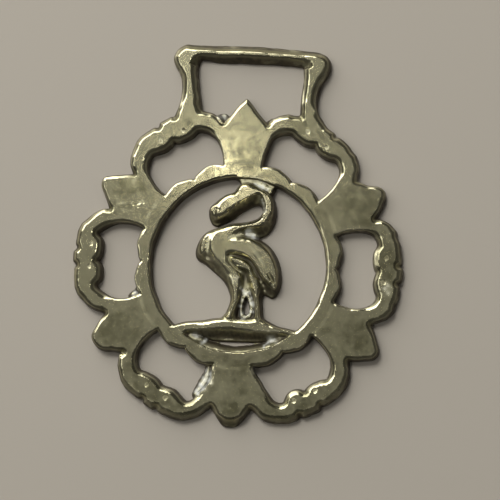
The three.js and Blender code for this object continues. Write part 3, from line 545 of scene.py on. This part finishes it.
def spots(rows, warp=0.25):
    """Soft blotches: rows are x, y, radius, strength."""
    out = np.zeros((NY, NX))
    wx, wy = warp * noise(1.6, 81), warp * noise(1.6, 82)
    for x, y, r, k in rows:
        out = np.maximum(out, k * np.exp(-(((GX - x + wx) ** 2 + (GY - y + wy) ** 2) / (r * r)) ** 1.5))
    return out


residue = spots([(2.2, 7.5, 0.8, 1.0), (3.2, 7.2, 0.7, 1.0), (4.2, 19.4, 0.65, 0.8), (5.1, 19.0, 0.65, 0.8), (5.9, 18.6, 0.6, 0.7), (3.4, 19.7, 0.6, 0.6),
                 (5.3, 15.8, 0.5, 0.6), (5.5, 14.8, 0.5, 0.7), (5.5, 13.8, 0.5, 0.7), (5.5, 12.8, 0.5, 0.6),
                 (1.4, -8.6, 0.5, 0.7), (1.2, -10.0, 0.5, 0.7), (1.3, -11.5, 0.5, 0.6), (2.3, -12.4, 0.6, 0.7), (3.5, -12.0, 0.6, 0.9), (3.8, -10.6, 0.6, 0.9), (3.6, -9.2, 0.6, 0.9), (3.1, -7.8, 0.6, 0.8),
                 (2.2, -6.6, 0.8, 0.8), (1.6, -5.8, 0.5, 0.6), (-5.5, -26.0, 0.9, 1.0), (-6.0, -27.6, 1.2, 0.9), (-7.2, -29.4, 1.2, 1.0), (-8.2, -30.6, 0.8, 1.0),
                 (-9.0, -17.4, 0.9, 0.7), (-7.2, -18.6, 0.7, 0.9), (9.0, -17.8, 1.0, 0.8), (8.0, -18.4, 0.6, 1.0), (6.9, -19.0, 0.5, 0.8), (-5.6, 35.8, 1.0, 0.45), (-24.3, -7.6, 0.9, 0.7),
                 (35.5, -4.6, 1.1, 0.35), (5.4, -24.8, 0.8, 0.5), (-0.4, -3.6, 1.0, 0.25)])
# painted shade: darkens the mound face, the lens ledge, the recess between the legs, the tail's underside, the lower
# slopes of bill, neck and breast, the band under the strap bar and the lower outer bevels; the dark in the dimples is
# dirt
shade_and_dirt = spots([(x, -17.1, 1.1, 1.0) for x in np.arange(-9.5, 11.1, 0.9)] + [(x, -16.4, 0.8, 0.95) for x in np.arange(-8.7, 11.0, 0.9)] + [polar(a, 20.2) + (0.75, 0.75) for a in np.arange(246, 297, 2.2)]
             + [(2.0, -3.2, 1.0, 0.8), (1.9, -4.6, 0.7, 0.7), (6.7, -5.0, 0.9, 0.9), (7.6, -5.8, 1.0, 1.0), (8.6, -6.4, 0.9, 0.9), (6.6, -6.1, 0.7, 0.9), (0.4, -10.6, 0.55, 0.9), (0.2, -12.0, 0.5, 0.9), (0.8, -9.0, 0.4, 0.8)]
             + [(3.4, 15.8, 0.8, 0.8), (2.2, 15.1, 0.8, 0.8), (1.0, 14.4, 0.8, 0.8), (-0.2, 13.5, 0.9, 0.8), (-1.5, 12.6, 0.9, 0.8), (-2.8, 11.7, 0.9, 0.7), (-4.1, 10.9, 0.9, 0.6), (-5.6, 10.3, 0.9, 0.5), (-6.6, 10.8, 0.8, 0.5)]
             + [(6.9, 9.8, 0.9, 0.7), (6.3, 8.7, 0.9, 0.9), (5.4, 8.0, 0.9, 1.0), (4.6, 7.6, 0.7, 0.9), (7.6, 11.3, 0.7, 0.6), (8.0, 13.0, 0.5, 0.4), (4.6, 15.6, 0.6, 0.7)]
             + [(-9.4, 1.6, 0.8, 0.7), (-8.2, 1.0, 0.8, 0.7), (-6.9, 0.2, 0.8, 0.6), (-5.6, -0.7, 0.8, 0.6), (-4.4, -1.7, 0.8, 0.6), (-3.4, -2.7, 0.7, 0.6), (-2.6, -4.0, 0.6, 0.5), (-2.0, -5.6, 0.5, 0.5), (-7.5, 5.6, 0.4, 0.6), (-7.6, 4.2, 0.4, 0.6), (-7.2, 2.6, 0.5, 0.6)]
             + [(x, 49.3, 1.0, 0.75) for x in np.arange(-12.5, 13.6, 1.2)] + [(x, 48.6, 0.8, 0.8) for x in np.arange(-12.0, 13.6, 1.2)]
             + [polar(a, 39.3) + (1.1, 0.55) for a in np.arange(222, 263, 1.6)] + [polar(a, 39.1) + (1.1, 0.60) for a in np.arange(277, 312, 1.6)]
             + [(x, -38.0, 1.0, 0.8) for x in (-2.4, -1.2, 0.0, 1.2, 2.4)] + [(1.6, 20.3, 0.9, 0.4), (3.2, 20.4, 0.7, 0.7), (-0.2, 20.4, 0.5, 0.6)]
             + [(-26.5, 18.8, 1.8, 0.35), (-4.8, -36.4, 1.4, 0.8), (5.4, -35.5, 1.4, 0.8), (-16.0, -37.0, 2.0, 0.4), (-5.8, 36.0, 0.9, 0.6)]
             + [polar(deg + f, r) + (0.5, 0.75) for deg, pair in DIMPLES for f, r in pair]
             + [(-7.7, 2.0, 0.8, 0.85), (-7.1, 1.4, 1.0, 0.9), (-6.4, 0.8, 1.05, 0.95), (-5.8, 0.2, 1.05, 0.95), (-5.2, -0.4, 1.05, 0.95), (-4.6, -1.0, 1.0, 0.95), (-4.0, -1.7, 1.0, 0.95), (-3.5, -2.4, 0.95, 0.9), (-3.0, -3.1, 0.9, 0.9), (-2.7, -4.0, 0.8, 0.85),
                (6.2, -4.4, 0.6, 0.8), (7.0, -5.4, 0.8, 1.0), (8.0, -6.3, 0.8, 1.0)]
             + [(7.3, 18.7, 0.6, 0.8), (0.8, 20.7, 0.6, 0.8), (2.4, 20.6, 0.6, 0.8), (4.2, 20.3, 0.5, 0.7), (5.6, 19.9, 0.5, 0.6), (-6.2, -1.1, 0.8, 0.9), (-4.8, -2.2, 0.8, 0.9), (-3.6, -3.4, 0.7, 0.8), (7.0, -6.6, 0.8, 1.0), (9.3, -5.6, 0.6, 0.7)], 0.12)
residue = np.clip(residue * (0.95 + 0.22 * noise(1.2, 83)), 0, 1)
# tarnish blotches, partly real olive tarnish and partly painted shade: the right lobe, the wing and the lower side of
# the casting are darkened where they catch less light
tarnish_and_shade = spots([(-27.0, 18.2, 3.6, 1.0), (-14.5, 33.5, 3.0, 0.6), (-18.0, 28.3, 3.4, 0.7), (13.0, 33.0, 3.6, 0.8), (9.0, 31.5, 2.6, 0.6), (17.5, 28.5, 3.4, 0.6), (28.5, 15.0, 6.5, 0.8),
                 (-27.0, -17.0, 6.0, 1.0), (30.5, -16.0, 5.0, 0.5), (0.0, -24.0, 5.0, 0.35), (34.5, 2.0, 6.0, 0.8), (6.5, 0.0, 3.5, 0.4), (-4.5, 3.5, 2.0, 0.2), (5.0, -8.0, 2.0, 0.5), (-20.0, -31.5, 6.0, 0.8), (-12.5, -34.5, 4.5, 0.9), (-24.5, -26.5, 4.0, 0.7),
                 (11.0, -35.0, 5.0, 0.8), (19.0, -31.5, 5.0, 0.6), (-8.0, -21.0, 4.5, 0.7), (0.0, -22.5, 5.0, 0.6), (8.0, -21.5, 4.0, 0.3), (18.5, 12.0, 3.5, 0.3), (21.0, 6.0, 3.5, 0.25),
                 (16.5, 50.0, 3.0, 0.5), (0.5, 50.6, 4.0, 0.5), (8.0, 50.4, 4.0, 0.5), (-8.0, 50.6, 3.0, 0.4), (0.5, -37.0, 3.5, 1.0), (30.0, 19.0, 3.0, 0.4)], 0.8)
tarnish_and_shade = np.clip(tarnish_and_shade + 0.16 * noise(2.4, 84) + 0.10 * noise(0.9, 85), 0, 1)

fields = {
    "residue": residue, "tarnish_and_shade": tarnish_and_shade, "shade_and_dirt": shade_and_dirt,
    "d": dist, "c": height, "w": soft_w, "h": soft_h,
    "hollow": np.where(dist < 0.2, hollow, 0.0), "proud": np.where(dist < 0.2, proud, 0.0),
}
for name in ("d", "c"):
    gy, gx = np.gradient(fields[name], CELL)
    fields[name + "x"], fields[name + "y"] = gx, gy


def sample(name, x, y):
    a = fields[name]
    u = np.clip((x - X0) / CELL, 0, NX - 1.001)
    v = np.clip((y - Y0) / CELL, 0, NY - 1.001)
    i, j = u.astype(int), v.astype(int)
    u, v = u - i, v - j
    return (a[j, i] * (1 - u) + a[j, i + 1] * u) * (1 - v) + (a[j + 1, i] * (1 - u) + a[j + 1, i + 1] * u) * v


def solid(x, y, z, slopes=False):
    """The casting as one function, negative inside; walls and top meet in an elliptical round."""
    d = sample("d", x, y) - DRAFT * (THICK - z)
    e = z - sample("c", x, y)
    w, h = sample("w", x, y), sample("h", x, y)
    a, b = d / w + 1, e / h + 1
    ap, bp = np.maximum(a, 0), np.maximum(b, 0)
    n = np.hypot(ap, bp)
    f = np.where((a < 0) & (b < 0), np.maximum(a, b), n) - 1
    if not slopes:
        return f
    n = np.maximum(n, 1e-6)
    ka, kb = ap / n / w, bp / n / h
    gx = ka * sample("dx", x, y) - kb * sample("cx", x, y)
    gy = ka * sample("dy", x, y) - kb * sample("cy", x, y)
    gz = ka * DRAFT + kb
    return f, gx, gy, gz


# ---------------------------------------------------------------- mesh

def surface():
    nx = int((X1 - X0 - 2) / VOXEL)
    ny = int((Y1 - Y0 - 2) / VOXEL)
    vx = X0 + 1 + VOXEL * np.arange(nx)
    vy = Y0 + 1 + VOXEL * np.arange(ny)
    vz = -0.12 + VOXEL * np.arange(int(5.2 / VOXEL))
    nz = len(vz)
    px, py = np.meshgrid(vx, vy, indexing="ij")
    f = np.empty((nx, ny, nz), np.float32)
    dd, cc, ww, hh = (sample(k, px, py) for k in ("d", "c", "w", "h"))
    for k, z in enumerate(vz):
        a = (dd - DRAFT * (THICK - z)) / ww + 1
        b = (z - cc) / hh + 1
        n = np.hypot(np.maximum(a, 0), np.maximum(b, 0))
        g = np.where((a < 0) & (b < 0), np.maximum(a, b), n) - 1
        f[:, :, k] = np.maximum(g, -z)
    neg = f < 0
    cell = np.zeros((nx, ny, nz), bool)
    tot = np.zeros((nx - 1, ny - 1, nz - 1), np.int8)
    for i in (0, 1):
        for j in (0, 1):
            for k in (0, 1):
                tot += neg[i:nx - 1 + i, j:ny - 1 + j, k:nz - 1 + k]
    mixed = (tot > 0) & (tot < 8)
    index = np.full(mixed.shape, -1, np.int64)
    index[mixed] = np.arange(mixed.sum())
    count = int(mixed.sum())
    acc = np.zeros((count, 3))
    num = np.zeros(count)
    faces = []
    step = (np.array([1, 0, 0]), np.array([0, 1, 0]), np.array([0, 0, 1]))
    for axis in range(3):
        sl0 = [slice(None)] * 3
        sl1 = [slice(None)] * 3
        sl0[axis] = slice(0, -1)
        sl1[axis] = slice(1, None)
        cross = neg[tuple(sl0)] != neg[tuple(sl1)]
        i, j, k = np.nonzero(cross)
        f0 = f[i, j, k]
        o = step[axis]
        f1 = f[i + o[0], j + o[1], k + o[2]]
        t = f0 / (f0 - f1)
        pos = np.stack([vx[i], vy[j], vz[k]], 1)
        pos[:, axis] += VOXEL * t
        b, c = [m for m in range(3) if m != axis]
        quad = []
        good = np.ones(len(i), bool)
        for sb, sc in ((0, 0), (1, 0), (1, 1), (0, 1)):
            at = [i.copy(), j.copy(), k.copy()]
            at[b] -= sb
            at[c] -= sc
            ok = (at[0] >= 0) & (at[1] >= 0) & (at[2] >= 0) & (at[0] < nx - 1) & (at[1] < ny - 1) & (at[2] < nz - 1)
            good &= ok
            idx = np.where(ok, index[np.clip(at[0], 0, nx - 2), np.clip(at[1], 0, ny - 2), np.clip(at[2], 0, nz - 2)], -1)
            use = idx >= 0
            for m in range(3):
                acc[:, m] += np.bincount(idx[use], pos[use, m], count)
            num += np.bincount(idx[use], minlength=count)
            quad.append(idx)
        quad = np.stack(quad, 1)[good]
        flip = (f0 < 0)[good]
        if axis == 1:
            flip = ~flip
        quad[flip] = quad[flip][:, ::-1]
        faces.append(quad)
    verts = acc / num[:, None]
    return verts, np.vstack(faces)


def settle(v, low):
    """Moves points onto the surface; low marks the points of the flat back."""
    for _ in range(3):
        f, gx, gy, gz = solid(v[:, 0], v[:, 1], v[:, 2], slopes=True)
        g2 = np.maximum(gx * gx + gy * gy + gz * gz, 1e-4)
        s = np.clip(f / g2, -0.15, 0.15)
        m = ~low
        v[m, 0] -= (s * gx)[m]
        v[m, 1] -= (s * gy)[m]
        v[m, 2] -= (s * gz)[m]
    v[low, 2] = 0
    v[:, 2] = np.maximum(v[:, 2], 0)
    return v


verts, quads = surface()
low = verts[:, 2] < 0.02 + 0.5 * VOXEL - 0.06
low &= verts[:, 2] < 0.06
verts = settle(verts, low)

raw = bpy.data.meshes.new("raw")
raw.from_pydata((verts * 0.001).tolist(), [], quads.tolist())
raw.update()
carrier = bpy.data.objects.new("raw_casting", raw)
bpy.context.scene.collection.objects.link(carrier)
thin = carrier.modifiers.new("thin", "DECIMATE")
thin.ratio = min(1.0, 188000.0 / (2 * len(quads)))
bpy.context.view_layer.update()
deps = bpy.context.evaluated_depsgraph_get()
mesh = bpy.data.meshes.new_from_object(carrier.evaluated_get(deps))
mesh.name = "brass_casting"
bpy.data.objects.remove(carrier)
bpy.data.meshes.remove(raw)

n = len(mesh.vertices)
v = np.empty(n * 3, np.float32)
mesh.vertices.foreach_get("co", v)
v = v.reshape(-1, 3).astype(float) * 1000
low = v[:, 2] < 0.03
v = settle(v, low)
mesh.vertices.foreach_set("co", (v * 0.001).astype(np.float32).ravel())
mesh.update()

f, gx, gy, gz = solid(v[:, 0], v[:, 1], v[:, 2], slopes=True)
nrm = np.stack([gx, gy, gz], 1)
nrm /= np.maximum(np.linalg.norm(nrm, axis=1), 1e-6)[:, None]

loops = np.empty(len(mesh.loops), np.int32)
mesh.loops.foreach_get("vertex_index", loops)
starts = np.empty(len(mesh.polygons), np.int32)
sizes = np.empty(len(mesh.polygons), np.int32)
mesh.polygons.foreach_get("loop_start", starts)
mesh.polygons.foreach_get("loop_total", sizes)
fn = np.empty(len(mesh.polygons) * 3, np.float32)
mesh.polygons.foreach_get("normal", fn)
fn = fn.reshape(-1, 3)
face_of = np.repeat(np.arange(len(mesh.polygons)), sizes)
back_face = (fn[:, 2] < -0.9)
loop_n = nrm[loops]
# a point whose own slope disagrees with its face keeps the face's normal
own = fn[face_of]
bad = (loop_n * own).sum(1) < 0.35
loop_n = np.where(bad[:, None], own, loop_n)
loop_n[back_face[face_of]] = (0, 0, -1)
mesh.polygons.foreach_set("use_smooth", np.ones(len(mesh.polygons), bool))
mesh.normals_split_custom_set(loop_n.tolist())

# painted shade: the wall mask darkens steep faces, and the sloping ring ledge inside the lens gap, in the material
wall = smooth(0.80, 0.42, np.abs(nrm[:, 2])) * smooth(0.4, 1.3, THICK + 0.4 - v[:, 2])
for name, values in (
    ("hollow", np.clip(sample("hollow", v[:, 0], v[:, 1]) * 2.2, 0, 1)),
    ("proud", np.clip(sample("proud", v[:, 0], v[:, 1]) * 2.5, 0, 1)),
    ("wall", np.maximum(wall, 0.7 * smooth(0.62, 0.34, np.abs(nrm[:, 2])) * smooth(20.6, 19.6, np.hypot(v[:, 0], v[:, 1])))),
    ("back", low.astype(float)),
    ("residue", sample("residue", v[:, 0], v[:, 1])),
    # the slope term is painted shade: steep faces turn darker olive
    ("tarnish_and_shade", np.clip(sample("tarnish_and_shade", v[:, 0], v[:, 1]) + 0.75 * smooth(0.93, 0.62, np.abs(nrm[:, 2])), 0, 1)),
    ("shade_and_dirt", sample("shade_and_dirt", v[:, 0], v[:, 1])),
):
    a = mesh.attributes.new(name, "FLOAT", "POINT")
    a.data.foreach_set("value", values.astype(np.float32))

brass = bpy.data.objects.new("brass_casting", mesh)
bpy.context.scene.collection.objects.link(brass)
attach(brass, "root")
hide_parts("horse_brass")


# ---------------------------------------------------------------- brass material

class Nodes:
    def __init__(self, tree):
        self.tree = tree
        tree.nodes.clear()

    def new(self, kind, **props):
        n = self.tree.nodes.new(kind)
        for k, val in props.items():
            setattr(n, k, val)
        return n

    def put(self, socket, value):
        if hasattr(value, "is_output"):
            self.tree.links.new(value, socket)
        else:
            socket.default_value = value

    def math(self, op, a, b=None, c=None, clamp=False):
        n = self.new("ShaderNodeMath", operation=op, use_clamp=clamp)
        for s, val in zip(n.inputs, (a, b, c)):
            if val is not None:
                self.put(s, val)
        return n.outputs[0]

    def mix(self, t, a, b, blend="MIX"):
        n = self.new("ShaderNodeMix", data_type="RGBA", blend_type=blend)
        self.put(n.inputs["Factor"], t)
        self.put(n.inputs[6], a if hasattr(a, "is_output") else tuple(a) + (1,))
        self.put(n.inputs[7], b if hasattr(b, "is_output") else tuple(b) + (1,))
        return n.outputs[2]

    def blend(self, t, a, b):
        n = self.new("ShaderNodeMix", data_type="FLOAT")
        self.put(n.inputs["Factor"], t)
        self.put(n.inputs[2], a)
        self.put(n.inputs[3], b)
        return n.outputs[0]

    def noise(self, vec, scale, detail=3.0, rough=0.5, distort=0.0):
        n = self.new("ShaderNodeTexNoise")
        self.put(n.inputs["Vector"], vec)
        n.inputs["Scale"].default_value = scale
        n.inputs["Detail"].default_value = detail
        n.inputs["Roughness"].default_value = rough
        n.inputs["Distortion"].default_value = distort
        return n.outputs[0]

    def ramp(self, value, lo_, hi_, to_lo=0.0, to_hi=1.0):
        n = self.new("ShaderNodeMapRange", interpolation_type="SMOOTHSTEP")
        self.put(n.inputs[0], value)
        n.inputs[1].default_value = lo_
        n.inputs[2].default_value = hi_
        n.inputs[3].default_value = to_lo
        n.inputs[4].default_value = to_hi
        return n.outputs[0]

    def attr(self, name):
        return self.new("ShaderNodeAttribute", attribute_name=name).outputs["Fac"]


def brass_material():
    m = bpy.data.materials.new("worn_brass")
    m.use_nodes = True
    k = Nodes(m.node_tree)
    out = k.new("ShaderNodeOutputMaterial")
    bsdf = k.new("ShaderNodeBsdfPrincipled")
    k.tree.links.new(bsdf.outputs[0], out.inputs[0])
    pos = k.new("ShaderNodeTexCoord").outputs["Object"]

    def mapped(scale, turn=0.0):
        n = k.new("ShaderNodeMapping")
        k.put(n.inputs["Vector"], pos)
        n.inputs["Scale"].default_value = scale
        n.inputs["Rotation"].default_value = (0, 0, turn)
        return n.outputs[0]

    hollow, wall, back, proud = k.attr("hollow"), k.attr("wall"), k.attr("back"), k.attr("proud")
    broad = k.noise(pos, 55, 4, 0.55)
    patch = k.noise(pos, 190, 5, 0.6, 0.4)
    fine = k.noise(pos, 900, 4, 0.6)
    specks = k.noise(pos, 2600, 2, 0.5)

    # clean metal to olive: real tarnish mixed with painted shade on steep faces and on parts that catch less light
    tone = k.math("ADD", k.math("MULTIPLY", broad, 0.55), k.math("MULTIPLY", patch, 0.45))
    tarnish_and_shade = k.math("ADD", k.ramp(tone, 0.38, 0.62, -0.15, 0.30), k.attr("tarnish_and_shade"), clamp=True)
    col = k.mix(tarnish_and_shade, (0.76, 0.725, 0.465), (0.265, 0.252, 0.145))
    col = k.mix(k.math("MULTIPLY", k.ramp(fine, 0.45, 0.75), 0.25), col, (0.30, 0.27, 0.165))
    col = k.mix(k.math("MULTIPLY", proud, 0.45), col, (0.78, 0.72, 0.50))
    # dirt and painted shade in the hollows, painted shade down the walls and over the dark blotch map
    shade_and_grime = k.math("ADD", k.math("MULTIPLY", hollow, 1.1), k.math("MULTIPLY", wall, 1.0))
    shade_and_grime = k.math("MULTIPLY", shade_and_grime, k.ramp(patch, 0.25, 0.6, 0.55, 1.15))
    shade_and_grime = k.math("MAXIMUM", shade_and_grime, k.attr("shade_and_dirt"))
    shade_and_grime = k.math("MINIMUM", k.math("MAXIMUM", shade_and_grime, 0.0), 1.0)
    shade_and_grime_colour = k.mix(k.ramp(fine, 0.35, 0.65), (0.018, 0.013, 0.008), (0.050, 0.037, 0.022))
    col = k.mix(k.math("MULTIPLY", shade_and_grime, 0.92), col, shade_and_grime_colour)
    # dull brown back
    col = k.mix(k.math("MULTIPLY", back, 0.6), col, (0.24, 0.20, 0.12))
    # chalky polish residue caught in the corners
    chalk = k.math("MULTIPLY", k.attr("residue"), k.ramp(fine, 0.30, 0.60, 0.65, 1.0), clamp=True)
    col = k.mix(chalk, col, (0.56, 0.57, 0.53))
    k.put(bsdf.inputs["Base Color"], col)
    metal = k.blend(shade_and_grime, 1.0, 0.55)
    metal = k.blend(chalk, metal, 0.15)
    k.put(bsdf.inputs["Metallic"], metal)
    rough = k.blend(tarnish_and_shade, 0.130, 0.185)
    rough = k.math("ADD", rough, k.math("MULTIPLY", k.ramp(fine, 0.4, 0.7), 0.03))
    rough = k.blend(chalk, rough, 0.6)
    rough = k.blend(shade_and_grime, rough, 0.55)
    rough = k.blend(back, rough, 0.5)
    k.put(bsdf.inputs["Roughness"], rough)

    # small pits, casting grain and rubbed scratches
    scratch_a = k.noise(mapped((260, 3200, 900), 0.5), 1.0, 2, 0.5)
    scratch_b = k.noise(mapped((3000, 240, 900), 0.25), 1.0, 2, 0.5)
    bump_h = k.math("ADD", k.math("MULTIPLY", fine, 0.5), k.math("MULTIPLY", specks, 0.16))
    bump_h = k.math("ADD", bump_h, k.math("MULTIPLY", patch, 0.5))
    bump_h = k.math("ADD", bump_h, k.math("MULTIPLY", k.math("ADD", scratch_a, scratch_b), 0.10))
    bump_h = k.math("ADD", bump_h, k.math("MULTIPLY", k.math("MULTIPLY", back, fine), 1.6))
    b = k.new("ShaderNodeBump")
    b.inputs["Strength"].default_value = 0.4
    b.inputs["Distance"].default_value = 0.000007
    k.put(b.inputs["Height"], bump_h)
    k.put(bsdf.inputs["Normal"], b.outputs[0])
    return m


mesh.materials.clear()
mesh.materials.append(brass_material())

# ---------------------------------------------------------------- floor

floor_mesh = bpy.data.meshes.new("floor")
s = 3.0
floor_mesh.from_pydata([(-s, -s, 0), (s, -s, 0), (s, s, 0), (-s, s, 0)], [], [(0, 1, 2, 3)])
floor = bpy.data.objects.new("floor", floor_mesh)
floor.location.z = -0.00005
bpy.context.scene.collection.objects.link(floor)
fm = bpy.data.materials.new("floor_pale")
fm.use_nodes = True
fb = fm.node_tree.nodes["Principled BSDF"]
fb.inputs["Base Color"].default_value = (0.31, 0.283, 0.24, 1)
fb.inputs["Roughness"].default_value = 0.75
floor_mesh.materials.append(fm)

# ---------------------------------------------------------------- camera

az, el, roll = math.radians(40.0), math.radians(81.0), math.radians(3.0034)
look = Vector((2.801, 3.584, 3.3)) * 0.001
back_dir = Vector((math.sin(az) * math.cos(el), -math.cos(az) * math.cos(el), math.sin(el)))
fwd = -back_dir
right = fwd.cross(Vector((0, 1, 0))).normalized()
up = right.cross(fwd)
r2 = right * math.cos(roll) + up * math.sin(roll)
u2 = -right * math.sin(roll) + up * math.cos(roll)
cam_data = bpy.data.cameras.new("camera")
cam_data.sensor_fit = "HORIZONTAL"
cam_data.sensor_width = 36.0
cam_data.lens = 123.54
cam_data.clip_start = 0.01
cam = bpy.data.objects.new("camera", cam_data)
bpy.context.scene.collection.objects.link(cam)
place = look + back_dir * 0.408
cam.matrix_world = Matrix(((r2.x, u2.x, back_dir.x, place.x), (r2.y, u2.y, back_dir.y, place.y), (r2.z, u2.z, back_dir.z, place.z), (0, 0, 0, 1)))
bpy.context.scene.camera = cam

# ---------------------------------------------------------------- light


def panel(name, centre, aim, width, height, radiance, colour):
    d = bpy.data.lights.new(name, "AREA")
    d.shape = "RECTANGLE"
    d.size, d.size_y = width, height
    d.energy = radiance * math.pi * width * height
    d.color = colour
    o = bpy.data.objects.new(name, d)
    bpy.context.scene.collection.objects.link(o)
    o.location = centre
    o.rotation_euler = (Vector(aim) - Vector(centre)).to_track_quat("-Z", "Y").to_euler()
    return o


world = bpy.data.worlds.new("studio")
world.use_nodes = True
world.node_tree.nodes["Background"].inputs[0].default_value = (1.0, 0.97, 0.92, 1)
world.node_tree.nodes["Background"].inputs[1].default_value = 0.06
bpy.context.scene.world = world

spot = Vector((-3.0, 22.5, 3.3)) * 0.001
toward = Vector((-46.8, 67.8, 400.0)).normalized()
# dim overhead sheet, bright sheets low on the far side and the left, a key lamp above them, and small lamps
panel("overhead", (-0.15, 0.25, 1.6), (0, 0, 0), 1.7, 1.5, 0.115, (1.0, 0.99, 0.95))
panel("far_side", (-0.85, 1.35, 0.85), (0, 0, 0), 2.2, 1.6, 3.3, (1.0, 0.99, 0.97))
panel("key", (-0.42, 0.75, 1.30), (0, 0, 0), 0.5, 0.5, 17.0, (1.0, 0.99, 0.96))
panel("halo", tuple(spot + toward * 1.505), tuple(spot), 0.10, 0.10, 0.16, (1.0, 0.95, 0.82))
panel("lamp", tuple(spot + toward * 1.5), tuple(spot), 0.030, 0.030, 12.5, (1.0, 0.94, 0.80))
panel("side_lamp", (0.95, 0.15, 1.1), (0, 0, 0), 0.12, 0.12, 20.0, (1.0, 0.98, 0.92))
panel("near_lamp", (-0.55, -0.35, 1.40), (0, 0, 0), 0.16, 0.16, 30.0, (1.0, 0.98, 0.94))
panel("left_sheet", (-1.25, 0.15, 1.05), (0, 0, 0), 1.2, 1.0, 1.3, (1.0, 0.99, 0.97))

view = bpy.context.scene.view_settings
view.view_transform = "Standard"
view.look = "None"
